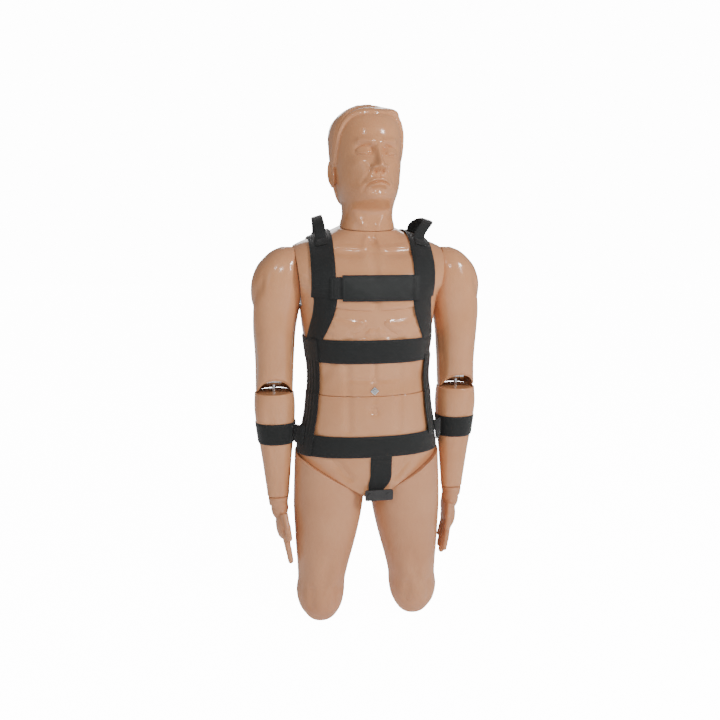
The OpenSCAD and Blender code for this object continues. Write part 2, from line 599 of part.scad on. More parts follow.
// Half of the angle that a side strap covers
side_half = side_strap_w * 0.36;
module under_arm_strap(s) on_side(s)
  web_patch(mid_top + lap, front_end_z - lap, [-44, -12], [-62, -38], 0, 8, 5);
module belt(z, w) color(webbing)
  sleeve([for (k = [[-1, 1], [1, 1], [1, 0], [-1, 0]])
    ring_of(sides, function (a) trunk_point(z + k[0] * w / 2, a, web_gap + k[1] * web_t))]);
module mid_strap() belt(mid_strap_z, mid_strap_w);
module waist_strap() belt(waist_strap_z, waist_strap_w);
module mid_strap_tab() web_patch(mid_bottom, mid_top, [-170, -143], [-170, -143], 1, 2, 5);
module waist_strap_tab()
  web_patch(waist_bottom, waist_top, [-168, -142], [-168, -142], 1, 2, 5);
module side_strap(s) on_side(s)
  web_patch(waist_top + lap, mid_bottom - lap, [side_mid - side_half, side_mid + side_half],
    [side_mid - side_half, side_mid + side_half], 1.2, 8, 4);
// Crotch strap: full width in front, drawn in to fit between the thighs, then rising behind.
// Each row is [height, centre x, half width share], and the front run ends under the crotch.
crotch_strap_x = 19;
crotch_narrow = 7;
crotch_drop = 1.5;
crotch_rows = [0, 0.2, 0.4, 0.6, 0.8, 0.92, 1];
function crotch_row(u, back, off) =
  let (z = mix(waist_bottom - lap, crotch_z - crotch_drop - off, u),
    half = mix(crotch_strap_w / 2, crotch_narrow, fade((u - 0.55) / 0.45)),
    cx = mix(crotch_strap_x, 0, fade((u - 0.4) / 0.6)))
  [for (i = [0:4]) let (x = cx + half * (i / 2 - 1), w = trunk(z, 1, off))
    [x, (back ? 1 : -1) * trunk(max(z, crotch_z), back ? 3 : 2, off)
      * pow(1 - pow(abs(x) / w, torso_round), 1 / torso_round), z]];
function crotch_grid(back, off) = concat(
  [for (y = [0.25, 0.5, 0.75]) let (r = crotch_row(1, back, off))
    [for (p = r) [p[0], p[1] * y, p[2]]]],
  [for (k = [len(crotch_rows) - 1:-1:0]) crotch_row(crotch_rows[k], back, off)]);
module crotch_strap_front() color(webbing)
  slab(crotch_grid(false, web_gap + web_t), crotch_grid(false, web_gap));
module crotch_strap_rear() color(webbing) mirror([0, 1, 0])
  slab([for (r = crotch_grid(true, web_gap + web_t)) [for (p = r) [p[0], -p[1], p[2]]]],
    [for (r = crotch_grid(true, web_gap)) [for (p = r) [p[0], -p[1], p[2]]]]);
buckle_w = 68;
buckle_h = 26;
buckle_t = 4;
buckle_x = 12;
buckle_z = crotch_z + 14;
rivet_r = 4;
module at_buckle() translate([buckle_x, -trunk(buckle_z + 8, 2, 0) - 13, buckle_z])
  rotate([90, 0, 0]) children();
module crotch_buckle() color([0.2, 0.2, 0.21]) at_buckle() difference() {
  linear_extrude(buckle_t) offset(r = 4) square([buckle_w - 8, buckle_h - 8], center = true);
  for (k = [-1, 1]) translate([k * buckle_w * 0.33, 0, 0]) drum(rivet_r, -1, buckle_t + 1);
}
module buckle_rivets() color([0.35, 0.35, 0.36]) at_buckle()
  for (k = [-1, 1]) translate([k * buckle_w * 0.33, 0, 0]) {
    drum(rivet_r, 0, buckle_t + 0.1);
    drum(rivet_r + 2, buckle_t + 0.05, buckle_t + 1.5);
  }
// Forearm cuffs, and the short ties that hold them to the waist strap
module cuff(s) color(webbing) on_side(s)
  sleeve([for (k = [[-1, 1], [1, 1], [1, 0], [-1, 0]])
    ring_of(limb_sides, function (a) forearm_point(
      (cuff_z + k[0] * cuff_w / 2 - wrist_z) / forearm_l * 100, a, cuff_gap + k[1] * web_t))]);
tie_y = -20;
tie_h = 40;
module cuff_tie(s) color(webbing) on_side(s) {
  inner = trunk(cuff_z - tie_h / 2, 1, web_gap + web_t + lap) + 0.6;
  h = (cuff_z - wrist_z) / forearm_l * 100;
  outer = forearm_point(h, 180, cuff_gap + web_t + 1)[0];
  translate([inner, tie_y, cuff_z - tie_h / 2]) cube([outer - inner, web_t, tie_h]);
}

torso_shell();
pelvis_shell();
head_shell();
upper_arm(1);  // upper_arm_L
upper_arm(-1);  // upper_arm_R
forearm(1);  // forearm_L
forearm(-1);  // forearm_R
hand(1);  // hand_L
hand(-1);  // hand_R
thigh(1);  // thigh_L
thigh(-1);  // thigh_R
neck_plate();
neck_stud();
shoulder_plate(1);  // shoulder_plate_L
shoulder_plate(-1);  // shoulder_plate_R
arm_plate(1);  // arm_plate_L
arm_plate(-1);  // arm_plate_R
shoulder_stud(1);  // shoulder_stud_L
shoulder_stud(-1);  // shoulder_stud_R
waist_collar();
waist_screws();
waist_washers();
elbow_clevis(1);  // elbow_clevis_L
elbow_clevis(-1);  // elbow_clevis_R
elbow_pin(1);  // elbow_pin_L
elbow_pin(-1);  // elbow_pin_R
elbow_eye(1);  // elbow_eye_L
elbow_eye(-1);  // elbow_eye_R
forearm_plug(1);  // forearm_plug_L
forearm_plug(-1);  // forearm_plug_R
wrist_stud(1);  // wrist_stud_L
wrist_stud(-1);  // wrist_stud_R
hip_bolt(1);  // hip_bolt_L
hip_bolt(-1);  // hip_bolt_R
thigh_plate(1);  // thigh_plate_L
thigh_plate(-1);  // thigh_plate_R
shoulder_strap(1);  // shoulder_strap_L
shoulder_strap(-1);  // shoulder_strap_R
lift_loop(1);  // lift_loop_L
lift_loop(-1);  // lift_loop_R
chest_strap();
chest_panel();
under_arm_strap(1);  // under_arm_strap_L
under_arm_strap(-1);  // under_arm_strap_R
mid_strap();
mid_strap_tab();
side_strap(1);  // side_strap_L
side_strap(-1);  // side_strap_R
waist_strap();
waist_strap_tab();
crotch_strap_front();
crotch_strap_rear();
crotch_buckle();
buckle_rivets();
cuff(1);  // cuff_L
cuff(-1);  // cuff_R
cuff_tie(1);  // cuff_tie_L
cuff_tie(-1);  // cuff_tie_R
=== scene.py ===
"""Looks of a jointed display mannequin in a webbing harness: moulded skin, elbow hardware,
webbing with its stitching, light and camera. Lengths are in millimetres until a mesh is made."""
import math

import bpy
import numpy as np
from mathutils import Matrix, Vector


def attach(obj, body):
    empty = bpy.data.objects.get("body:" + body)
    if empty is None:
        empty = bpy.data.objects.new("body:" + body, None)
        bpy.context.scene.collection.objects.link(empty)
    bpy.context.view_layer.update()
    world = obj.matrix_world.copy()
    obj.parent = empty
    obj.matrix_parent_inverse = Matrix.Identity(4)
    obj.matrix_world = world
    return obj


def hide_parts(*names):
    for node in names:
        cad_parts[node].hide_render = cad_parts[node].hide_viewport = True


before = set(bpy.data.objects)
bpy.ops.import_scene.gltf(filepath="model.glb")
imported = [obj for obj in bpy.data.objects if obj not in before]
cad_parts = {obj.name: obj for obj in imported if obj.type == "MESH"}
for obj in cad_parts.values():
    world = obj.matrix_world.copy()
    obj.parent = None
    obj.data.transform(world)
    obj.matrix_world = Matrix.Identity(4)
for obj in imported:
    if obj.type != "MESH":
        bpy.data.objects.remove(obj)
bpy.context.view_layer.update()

MM = 0.001

# ---- sizes that the shells, straps and joints share
TORSO_W, TORSO_D, TORSO_H = 348.0, 242.0, 394.0
WAIST_Z, CROTCH_Z, HEAD_H = 602.0, 345.0, 276.0
SEAM_GAP, WALL = 0.8, 4.0
NECK_Z = WAIST_Z + TORSO_H
SHOULDER_Z = NECK_Z - 91
UPPER_ARM_L, FOREARM_L, ARM_W = 279.0, 291.0, 111.0
ELBOW_Z = SHOULDER_Z - UPPER_ARM_L
WRIST_Z = ELBOW_Z - FOREARM_L
SHOULDER_X = TORSO_W / 2
ELBOW_X, WRIST_X = SHOULDER_X + 56, SHOULDER_X + 50
ELBOW_R, ELBOW_BEND = 26.0, math.radians(45)
SEAM_LEAN = math.radians(7)
SEAM_FOOT, TRUNK_FOOT = 75.0, 94.0
NECK_SLOPE, NECK_BLEND = 0.2, 92.0
HIP_SLOPE, CROTCH_X = 0.61, 12.0
TRUNK_ROUND, LIMB_ROUND = 2.35, 2.2
WEB_T, WEB_GAP, LAP = 2.4, 1.6, 0.6
CHEST_Z, MID_Z, BELT_Z = WAIST_Z + 255, WAIST_Z + 107, WAIST_Z - 124

# Stations of the moulded shells: height in percent, then half widths and depths as the frame has
TORSO = np.array([
    [-2, 43.0, 44.6, 36.6], [10, 42.4, 43.9, 36.4], [25, 43.8, 46.3, 39.3],
    [40, 46.0, 49.6, 43.0], [53, 47.9, 52.1, 46.3], [60, 50.0, 52.1, 47.5],
    [66, 56.5, 50.8, 47.9], [73, 60.5, 47.9, 47.9], [82, 60.0, 39.7, 44.6],
    [88.5, 52.0, 32.2, 40.5], [93.5, 38.5, 28.1, 35.5], [97, 26.6, 24.8, 31.4],
    [100, 19.5, 23.1, 28.1], [102, 19.0, 23.0, 28.0]])
PELVIS = np.array([
    [-5, 43.0, 44.6, 36.6], [20, 44.8, 44.6, 38.0], [40, 47.7, 43.0, 44.6],
    [56, 49.7, 40.5, 50.4], [68, 50.3, 38.0, 52.9], [85, 50.3, 37.5, 51.0],
    [105, 50.0, 36.5, 47.0]])
HEAD = np.array([
    [-2, 67, 57, 67], [3, 65, 56, 65], [8, 61.5, 56, 62], [14, 61, 62, 64], [19.5, 62, 92, 69],
    [26, 68, 107, 78], [35, 73, 112, 92], [46, 76, 114, 102], [57, 79, 111, 108],
    [68, 81, 108, 110], [78, 82, 104, 106], [87, 75, 92, 93], [93.5, 58, 69, 69],
    [98, 36, 42, 42], [100, 14, 16, 16]])
ARM = np.array([
    [-12, 10, 91, 46, 50], [5, 8, 90, 50, 52], [25, 5, 91, 54, 56], [45, 1, 94, 57, 58],
    [60, -6, 96, 60, 60], [75, -15, 96, 65, 63], [88, -22, 92, 67, 66], [100, -22, 81, 65, 66],
    [108, -20, 64, 56, 58], [113, -14, 48, 42, 42], [116, -6, 30, 24, 24]])
FOREARM = np.array([
    [-2, 27, 21, 23], [5, 28, 22, 24], [15, 31, 26, 29], [32, 36, 33, 36], [50, 42, 39, 41],
    [68, 47, 44, 45], [82, 49, 47, 48], [92, 47.5, 46, 48], [100, 46, 45, 47]])
THIGH = np.array([
    [0, 120, 16, 18, 10], [2, 120, 30, 34, 22], [6, 120, 42, 48, 32], [13, 121, 55, 62, 46],
    [22, 121, 61, 68, 54], [32, 118, 60, 69, 56], [44, 114, 65, 74, 62], [58, 109, 73, 81, 72],
    [72, 104, 80, 86, 82], [87, 100, 86, 90, 92], [101, 97, 88, 92, 104], [130, 94, 87, 92, 114]])


def smooth(table, h, c):
    """Column c of a station table at heights h, on a Hermite curve through the stations."""
    x, y = table[:, 0], table[:, c]
    m = np.empty(len(x))
    m[1:-1] = (y[2:] - y[:-2]) / (x[2:] - x[:-2])
    m[0], m[-1] = (y[1] - y[0]) / (x[1] - x[0]), (y[-1] - y[-2]) / (x[-1] - x[-2])
    h = np.asarray(h, float)
    i = np.clip(np.searchsorted(x, h, side="right") - 1, 0, len(x) - 2)
    w = x[i + 1] - x[i]
    u = np.clip((h - x[i]) / w, 0, 1)
    return (y[i] * (1 + 2 * u) * (1 - u) ** 2 + y[i + 1] * u * u * (3 - 2 * u)
            + w * m[i] * u * (1 - u) ** 2 - w * m[i + 1] * u * u * (1 - u))


def fade(u):
    """0 below 0, 1 above 1, and a smooth S between."""
    v = np.clip(u, 0, 1)
    return v * v * (3 - 2 * v)


def bump(x, z, at, size):
    """Gaussian hill of height 1 at the point at, with the half widths size."""
    return np.exp(-((x - at[0]) / size[0]) ** 2 - ((z - at[1]) / size[1]) ** 2)


def groove(x, z, a, b, width):
    """Hill of height 1 along the segment from a to b, falling off over width."""
    ax, az, dx, dz = a[0], a[1], b[0] - a[0], b[1] - a[1]
    t = np.clip(((x - ax) * dx + (z - az) * dz) / (dx * dx + dz * dz), 0, 1)
    return np.exp(-((x - ax - t * dx) ** 2 + (z - az - t * dz) ** 2) / width ** 2)


def power(v, p):
    """|v| to the power p, with the sign of v."""
    return np.sign(v) * np.abs(v) ** p


def section(a, w, f, b, roundness):
    """Rounded section: x = w cos^(2/n), y = depth sin^(2/n), front depth f and back depth b."""
    c, s = np.cos(a), np.sin(a)
    return w * power(c, 2 / roundness), np.where(s < 0, f, b) * power(s, 2 / roundness)


# ---- meshes
def make_object(name, verts, faces, uv=None, sharp=35):
    mesh = bpy.data.meshes.new(name)
    mesh.from_pydata((verts * MM).tolist(), [], faces)
    if uv is not None:
        layer = mesh.uv_layers.new(name="UVMap")
        layer.data.foreach_set("uv", uv.astype(np.float32).ravel())
    mesh.validate()
    mesh.polygons.foreach_set("use_smooth", np.ones(len(mesh.polygons), bool))
    mesh.set_sharp_from_angle(angle=math.radians(sharp))
    obj = bpy.data.objects.new(name, mesh)
    bpy.context.scene.collection.objects.link(obj)
    return obj


def grid_object(name, P, loop=False, ends="fan", sharp=35):
    """Closed surface from a grid P[row, column]: columns wrap round. Rows wrap too when loop
    is true; else each end is closed by a fan to its middle, or by a strip of quads across.
    UV is in metres: u along the rows, v round the columns."""
    rows, cols, _ = P.shape
    r = np.arange(rows if loop else rows - 1)[:, None] + 0 * np.arange(cols)
    c = np.arange(cols)[None, :] + 0 * r
    r1, c1 = (r + 1) % rows, (c + 1) % cols
    quads = np.stack([r * cols + c, r * cols + c1, r1 * cols + c1, r1 * cols + c], -1).reshape(-1, 4)
    down = np.linalg.norm(np.diff(P[list(range(rows)) + [0]], axis=0), axis=2).mean(1)
    across = np.linalg.norm(np.diff(P[:, list(range(cols)) + [0]], axis=1), axis=2).mean(0)
    u = np.concatenate([[0], np.cumsum(down)]) * MM
    v = np.concatenate([[0], np.cumsum(across)]) * MM
    uv = np.stack([np.stack([u[r], v[c]], -1), np.stack([u[r], v[c + 1]], -1),
                   np.stack([u[r + 1], v[c + 1]], -1), np.stack([u[r + 1], v[c]], -1)], 2)
    verts, caps = P.reshape(-1, 3), np.empty((0, 3), int)
    first, last = np.arange(cols), (rows - 1) * cols + np.arange(cols)
    if not loop and ends == "fan":
        verts = np.vstack([verts, P[0].mean(0), P[-1].mean(0)])
        mid = np.full(cols, rows * cols)
        caps = np.vstack([np.stack([np.roll(first, -1), first, mid], 1),
                          np.stack([last, np.roll(last, -1), mid + 1], 1)])
    elif not loop:
        i, h = np.arange(cols // 2 - 1), cols - 1
        near = np.stack([first[i], first[h - i], first[h - 1 - i], first[i + 1]], 1)
        far = np.stack([last[i], last[i + 1], last[h - 1 - i], last[h - i]], 1)
        quads = np.vstack([quads, near, far])
    uvs = np.concatenate([uv.reshape(-1, 2), np.zeros((4 * len(quads) - 4 * r.size, 2))])
    tris = np.vstack([quads[:, [0, 1, 2]], quads[:, [0, 2, 3]], caps])
    a, b, d = verts[tris[:, 0]], verts[tris[:, 1]], verts[tris[:, 2]]
    if np.sum(a * np.cross(b, d)) < 0:
        quads, caps = quads[:, ::-1], caps[:, ::-1]
        uvs = uvs.reshape(-1, 4, 2)[:, ::-1].reshape(-1, 2)
    uvs = np.concatenate([uvs, np.zeros((3 * len(caps), 2))])
    return make_object(name, verts, quads.tolist() + caps.tolist(), uvs, sharp)


def joined(pieces):
    """All the pieces joined into the first."""
    with bpy.context.temp_override(active_object=pieces[0], selected_editable_objects=pieces,
                                   object=pieces[0], selected_objects=pieces):
        bpy.ops.object.join()
    return pieces[0]


def normals(C, loop=False, about=0.0):
    """Unit normals of a grid of points, from the slopes along its rows and columns, turned to
    point away from the upright axis at x = about."""
    du = np.gradient(C, axis=0)
    if loop:
        du = np.roll(C, -1, 0) - np.roll(C, 1, 0)
    n = np.cross(np.gradient(C, axis=1), du)
    away = C - [about, 0, 0]
    away[..., 2] = np.maximum(C[..., 2] - SHOULDER_Z, 0) * 2
    return n * np.sign(np.sum(n * away)) / np.maximum(np.linalg.norm(n, axis=2, keepdims=True), 1e-9)


def ribbon(name, C, thick=WEB_T, loop=False, relief=None, about=0.0):
    """Webbing: its middle surface is the grid C, and its cut edges are half round. The faces
    stand half the thickness off C along the normals, plus the relief."""
    n = normals(C, loop, about)
    v = np.linspace(-1, 1, C.shape[1])
    half = thick / 2 * np.sqrt(np.maximum(1 - np.abs(v) ** 14, 0.02))[None, :, None]
    lift = 0 if relief is None else relief[:, :, None]
    upper, lower = C + n * (half + lift), C - n * half
    return grid_object(name, np.concatenate([upper, lower[:, ::-1]], 1), loop, "strip", 50)


# ---- surfaces of the body
def seam_x(z):
    """Plane of the shoulder seam, upright below its foot."""
    return SHOULDER_X + np.maximum(z - SHOULDER_Z, -SEAM_FOOT) * math.tan(SEAM_LEAN)


def trunk_limit(z):
    """Plane of the shoulder seam, and below its foot a slope that opens outwards."""
    return (SHOULDER_X + np.maximum(z - SHOULDER_Z, -TRUNK_FOOT) * math.tan(SEAM_LEAN)
            + np.maximum(SHOULDER_Z - TRUNK_FOOT - z, 0) * 0.6)


def trunk(z, c, off):
    """Half width, front or back depth (c = 1, 2, 3) of torso and pelvis at height z."""
    span = TORSO_W if c == 1 else TORSO_D
    up = np.asarray(z, float) - off
    above = smooth(TORSO, (up - WAIST_Z) / TORSO_H * 100, c)
    below = smooth(PELVIS, (WAIST_Z - up) / (WAIST_Z - CROTCH_Z) * 100, c)
    return off + span / 100 * np.where(up >= WAIST_Z, above, below)


def neck_rise(z):
    """Slope of the neck seam from front to back, fading out down the chest."""
    return NECK_SLOPE * fade((z - NECK_Z + NECK_BLEND) / NECK_BLEND)


def front_relief(x, z):
    """How far the skin stands out from the smooth trunk in front: breastbone, pectoral crease,
    rib arch, belly lines, navel, collarbones and groin, each a groove or a hill. Under the
    straps nothing rises above their clearance."""
    ax = np.abs(x)
    crease = 798 + 9 * (ax / 100) ** 2
    side = fade((ax - 4) / 14) * fade((152 - ax) / 34)
    under = np.where(z < crease, np.exp(-((z - crease) / 17) ** 2), np.exp(-((z - crease) / 6) ** 2))
    d = -9.5 * side * under
    d -= 5.0 * groove(ax, z, (0, 806), (0, 940), 9)
    d += 3.0 * bump(ax, z, (66, 846), (52, 34))
    d -= 7.0 * bump(ax, z, (0, 786), (17, 13))
    d += 3.0 * bump(ax, z, (26, 778), (12, 10))
    d -= 4.6 * groove(ax, z, (12, 774), (94, 690), 9) + 3.0 * groove(ax, z, (94, 690), (120, 640), 11)
    d -= 3.4 * groove(ax, z, (0, 765), (0, 640), 6) + 2.2 * groove(ax, z, (0, 640), (0, 590), 6)
    d -= 3.2 * groove(ax, z, (66, 735), (60, 520), 10)
    d -= 2.2 * groove(ax, z, (8, 742), (58, 750), 6) + 2.0 * groove(ax, z, (8, 690), (56, 694), 6)
    d -= 1.8 * groove(ax, z, (8, 640), (54, 642), 6)
    d -= 8.0 * bump(ax, z, (0, 566), (5, 6)) + 3.0 * bump(ax, z, (0, 568), (15, 15))
    d -= 4.5 * groove(ax, z, (152, 520), (58, 400), 11)
    d += 4.2 * groove(ax, z, (20, 955), (118, 962), 6) - 5.5 * groove(ax, z, (38, 936), (112, 944), 11)
    d -= 8.0 * bump(ax, z, (0, 970), (11, 9)) - 3.4 * groove(ax, z, (13, 984), (19, 960), 5)
    d -= 4.0 * bump(ax, z, (134, 905), (17, 34))
    for rib in range(4):
        d -= 2.2 * groove(ax, z, (100, 772 - 26 * rib), (142, 792 - 26 * rib), 6)
    cap = 1.1 + 3.6 * fade((86 - ax) / 14) * fade((z - 896) / 14)
    return -np.logaddexp(-2 * d, -2 * cap) / 2


def back_relief(x, z):
    """The same for the back: spine, shoulder blades, loin dimples and the cleft."""
    ax = np.abs(x)
    d = -6.0 * groove(ax, z, (0, 935), (0, 480), 12)
    d += 3.5 * bump(ax, z, (78, 880), (34, 48)) - 4.0 * groove(ax, z, (40, 830), (46, 920), 9)
    d -= 3.0 * groove(ax, z, (60, 815), (118, 835), 10)
    d += 2.5 * groove(ax, z, (34, 760), (34, 560), 20)
    d -= 3.0 * bump(ax, z, (38, 528), (12, 10))
    d -= 15.0 * groove(ax, z, (0, 470), (0, 330), 9) * fade((500 - z) / 60)
    return -np.logaddexp(-2 * d, -2 * 1.1) / 2


def trunk_point(z, a, off=0.0, relief=True):
    """Point of the trunk at height z and angle a, as [x, y, z] on the last axis."""
    z, a = np.broadcast_arrays(np.asarray(z, float), np.asarray(a, float))
    x, y = section(a, trunk(z, 1, off), trunk(z, 2, off), trunk(z, 3, off), TRUNK_ROUND)
    lim = trunk_limit(z) - SEAM_GAP / 2 + min(off, 0)
    x = np.clip(x, -lim, lim)
    if relief:
        d = np.where(np.sin(a) < 0, -front_relief(x, z), back_relief(x, z))
        y = y + d * np.abs(np.sin(a)) ** 0.7
    return np.stack([x, y, z + neck_rise(z) * y], -1)


def hip_floor(x):
    """Height of the hip seams, which rise outwards from the crotch."""
    return CROTCH_Z + np.maximum(np.abs(x) - CROTCH_X, 0) * HIP_SLOPE


def lip(t, reach=2.2, deep=1.1):
    """How far an edge is rounded in, t from it."""
    return -deep * (1 - np.sqrt(1 - np.clip(1 - t / reach, 0, 1) ** 2))


def angles(n):
    """n angles round a section, from the mannequin's left side through its back."""
    return np.arange(n) * 2 * np.pi / n


def torso_shell():
    """Sleeve: rings of trunk_point up the outside and down the inside, its rims rounded."""
    low, high = WAIST_Z + SEAM_GAP / 2, NECK_Z - SEAM_GAP / 2
    edge = np.array([0, 0.5, 1.1, 1.8, 2.6])
    z = np.concatenate([low + edge, np.linspace(low + 5, high - 5, 170), high - edge[::-1]])
    off = lip(np.minimum(z - low, high - z))
    a = angles(320)
    outer = np.stack([trunk_point(zz, a, o) for zz, o in zip(z, off)])
    inner = np.stack([trunk_point(zz, a, -WALL, False) for zz in np.linspace(high, low, 24)])
    return grid_object("torso_skin", np.concatenate([outer, inner]), loop=True)


def pelvis_point(u, a, off=0.0, relief=True):
    """Height runs from the two sloping hip seams (u = 0) to the level waist seam (u = 1)."""
    top = WAIST_Z - SEAM_GAP / 2
    z = CROTCH_Z + 60 + (top - CROTCH_Z - 60) * u + 0 * a
    for _ in range(3):
        x = section(a, trunk(z, 1, off), 1, 1, TRUNK_ROUND)[0]
        floor = hip_floor(x) + SEAM_GAP / 2
        z = floor + (top - floor) * u
    x, y = section(a, trunk(z, 1, off), trunk(z, 2, off), trunk(z, 3, off), TRUNK_ROUND)
    if relief:
        d = np.where(np.sin(a) < 0, -front_relief(x, z), back_relief(x, z))
        y = y + d * np.abs(np.sin(a)) ** 0.7
    return np.stack([x, y, z], -1)


def pelvis_shell():
    """Bowl: a ruled floor along the hip seams, rings up the outside, then down the inside."""
    a = angles(320)
    height = WAIST_Z - CROTCH_Z
    edge = np.array([0, 0.6, 1.3, 2.2, 3.2]) / height
    u = np.concatenate([edge, np.linspace(0.02, 0.98, 120), 1 - edge[::-1]])
    off = lip(np.minimum(u, 1 - u) * height)
    outer = np.stack([pelvis_point(v, a, o) for v, o in zip(u, off)])
    rim = outer[0]
    floor = np.stack([rim * [1, k, 1] for k in np.linspace(0.02, 0.98, 24)])
    inner = np.stack([pelvis_point(v, a, -WALL, False) for v in np.linspace(1, 0.1, 12)])
    return grid_object("pelvis_skin", np.concatenate([floor, outer, inner]), ends="strip")


def mirror(P, s):
    """The points on side s: 1 is the left, as drawn, and -1 the right."""
    return P if s > 0 else P * [-1, 1, 1]


def arm_relief(h, a):
    """Hills and grooves of the upper arm over height h (percent) and angle a (degrees):
    deltoid, biceps in front, triceps behind, and the grooves between them."""
    d = np.degrees(np.arctan2(np.sin(a), np.cos(a)))
    r = 4.0 * bump(d, h, (-88, 42), (36, 17)) + 3.0 * bump(d, h, (95, 50), (40, 20))
    r -= 3.6 * groove(d, h, (6, 60), (-50, 84), 8) + 3.0 * groove(d, h, (6, 60), (50, 84), 8)
    r -= 3.2 * groove(d, h, (-18, 12), (-6, 56), 12) + 2.4 * groove(d, h, (-150, 12), (-160, 60), 11)
    r += 1.8 * bump(d, h, (-10, 88), (60, 12))
    return r


def arm_point(h, a, off=0.0, relief=True):
    """Upper arm at height h percent and angle a, cut flat at the shoulder seam."""
    inner, outer = smooth(ARM, h, 1) * ARM_W / 100, smooth(ARM, h, 2) * ARM_W / 100
    z = ELBOW_Z + h / 100 * UPPER_ARM_L
    if relief:
        off = off + arm_relief(h, a) * fade(h / 14) * fade((112 - h) / 12)
    x, y = section(a, (outer - inner) / 2 + off, smooth(ARM, h, 3) + off, smooth(ARM, h, 4) + off,
                   LIMB_ROUND)
    x = np.maximum(x + SHOULDER_X + (inner + outer) / 2, seam_x(z) + SEAM_GAP / 2 - np.minimum(off, 0))
    return np.stack([x, y, z + 0 * x], -1)


def cheek_depth(y):
    """Depth of the upper arm's lower edge below the elbow pin: the forearm's flat top, turned
    from straight to fully bent, never reaches past it."""
    p = -y
    arc = np.sqrt(np.maximum(ELBOW_R ** 2 - p ** 2, 0))
    line = (ELBOW_R - p * math.sin(ELBOW_BEND)) / math.cos(ELBOW_BEND)
    return np.where(p <= 0, ELBOW_R, np.where(p < ELBOW_R * math.sin(ELBOW_BEND), arc, line))


def upper_arm(s, side):
    """Cup, closed over the shoulder: rings down the outside to the elbow's arched edge, which
    rolls in, then up the inside."""
    a = angles(192)
    top = np.concatenate([116 - 1.2 * (1 - np.cos(np.linspace(0, 1.4, 6))), np.linspace(114.4, 14, 120)])
    outer = [arm_point(h, a) for h in top]
    flare = arm_point(-4.0, a)
    edge = ELBOW_Z - cheek_depth(flare[:, 1])
    start = outer[-1]
    for t in (0.2, 0.4, 0.6, 0.75, 0.87, 0.94, 0.975, 0.99, 1.0):
        row = start + (flare - start) * t
        row[:, 2] = start[:, 2] + (edge - start[:, 2]) * t
        mid = row[:, :2].mean(0)
        pull = lip((1 - t) * 40.0, 3.0, 1.6)
        row[:, :2] += (row[:, :2] - mid) / np.linalg.norm(row[:, :2] - mid, axis=1)[:, None] * pull
        outer.append(row)
    inner_edge = arm_point(-4.0, a, -WALL)
    inner_edge[:, 2] = ELBOW_Z - cheek_depth(inner_edge[:, 1])
    inner = [inner_edge] + [arm_point(h, a, -WALL, False) for h in (14.0, 30.0, 60.0, 90.0, 108.0)]
    return grid_object("upper_arm_skin_" + side, mirror(np.stack(outer + inner), s))


def forearm_relief(h, a):
    """Hills of the forearm's muscles and the grooves between them."""
    d = np.degrees(np.arctan2(np.sin(a), np.cos(a)))
    r = 2.4 * bump(d, h, (-30, 72), (40, 20)) + 1.8 * bump(d, h, (150, 70), (40, 20))
    r -= 1.8 * groove(d, h, (-70, 86), (-80, 45), 12) + 1.4 * groove(d, h, (60, 88), (40, 40), 12)
    r += 1.4 * bump(d, h, (40, 7), (20, 4))
    return r


def forearm_point(h, a, off=0.0, relief=True):
    """Forearm at height h percent and angle a; its middle runs from wrist to elbow."""
    if relief:
        off = off + forearm_relief(h, a) * fade((90 - h) / 14) * fade((h - 2) / 6)
    x, y = section(a, smooth(FOREARM, h, 1) + off, smooth(FOREARM, h, 2) + off,
                   smooth(FOREARM, h, 3) + off, LIMB_ROUND)
    return np.stack([x + WRIST_X + (ELBOW_X - WRIST_X) * h / 100, y,
                     WRIST_Z + h / 100 * FOREARM_L + 0 * x], -1)


def forearm(s, side):
    """Cup, closed at the wrist, open on top round the plug."""
    a = angles(176)
    top = (FOREARM_L - ELBOW_R - SEAM_GAP) / FOREARM_L * 100
    edge = np.array([0, 0.5, 1.2, 2.2, 3.4]) / FOREARM_L * 100
    h = np.concatenate([edge, np.linspace(2, top - 2, 110), top - edge[::-1]])
    off = lip(np.minimum(h, top - h) / 100 * FOREARM_L, 3.0, 1.8)
    outer = np.stack([forearm_point(v, a, o) for v, o in zip(h, off)])
    base = outer[0]
    mid = base.mean(0)
    floor = np.stack([mid + (base - mid) * k for k in (0.1, 0.5, 0.9)])
    inner = np.stack([forearm_point(v, a, -WALL, False) for v in (top, 70.0, 40.0, 8.0)])
    return grid_object("forearm_skin_" + side, mirror(np.concatenate([floor, outer, inner]), s))


def hip_cut(x):
    """Height of the thigh's flat top under the sloping hip seam."""
    return CROTCH_Z + (x - CROTCH_X) * HIP_SLOPE - SEAM_GAP / 2


def thigh_relief(x, z, front):
    """Kneecap, the muscle heads above it, the long groove outside, and the hamstrings."""
    d = 4.0 * bump(x, z, (121, 78), (24, 24)) - 3.2 * groove(x, z, (92, 60), (94, 108), 9)
    d -= 3.0 * groove(x, z, (150, 62), (147, 108), 9)
    d += 3.4 * bump(x, z, (84, 142), (20, 26)) + 2.2 * bump(x, z, (142, 158), (20, 30))
    d -= 2.2 * groove(x, z, (118, 118), (104, 190), 13) - 2.4 * bump(x, z, (104, 270), (32, 60))
    b = 3.0 * bump(x, z, (84, 200), (20, 90)) + 2.5 * bump(x, z, (136, 200), (20, 90))
    b -= 5.0 * bump(x, z, (119, 72), (24, 34)) + 2.0 * groove(x, z, (112, 120), (108, 260), 10)
    return np.where(front, d, b)


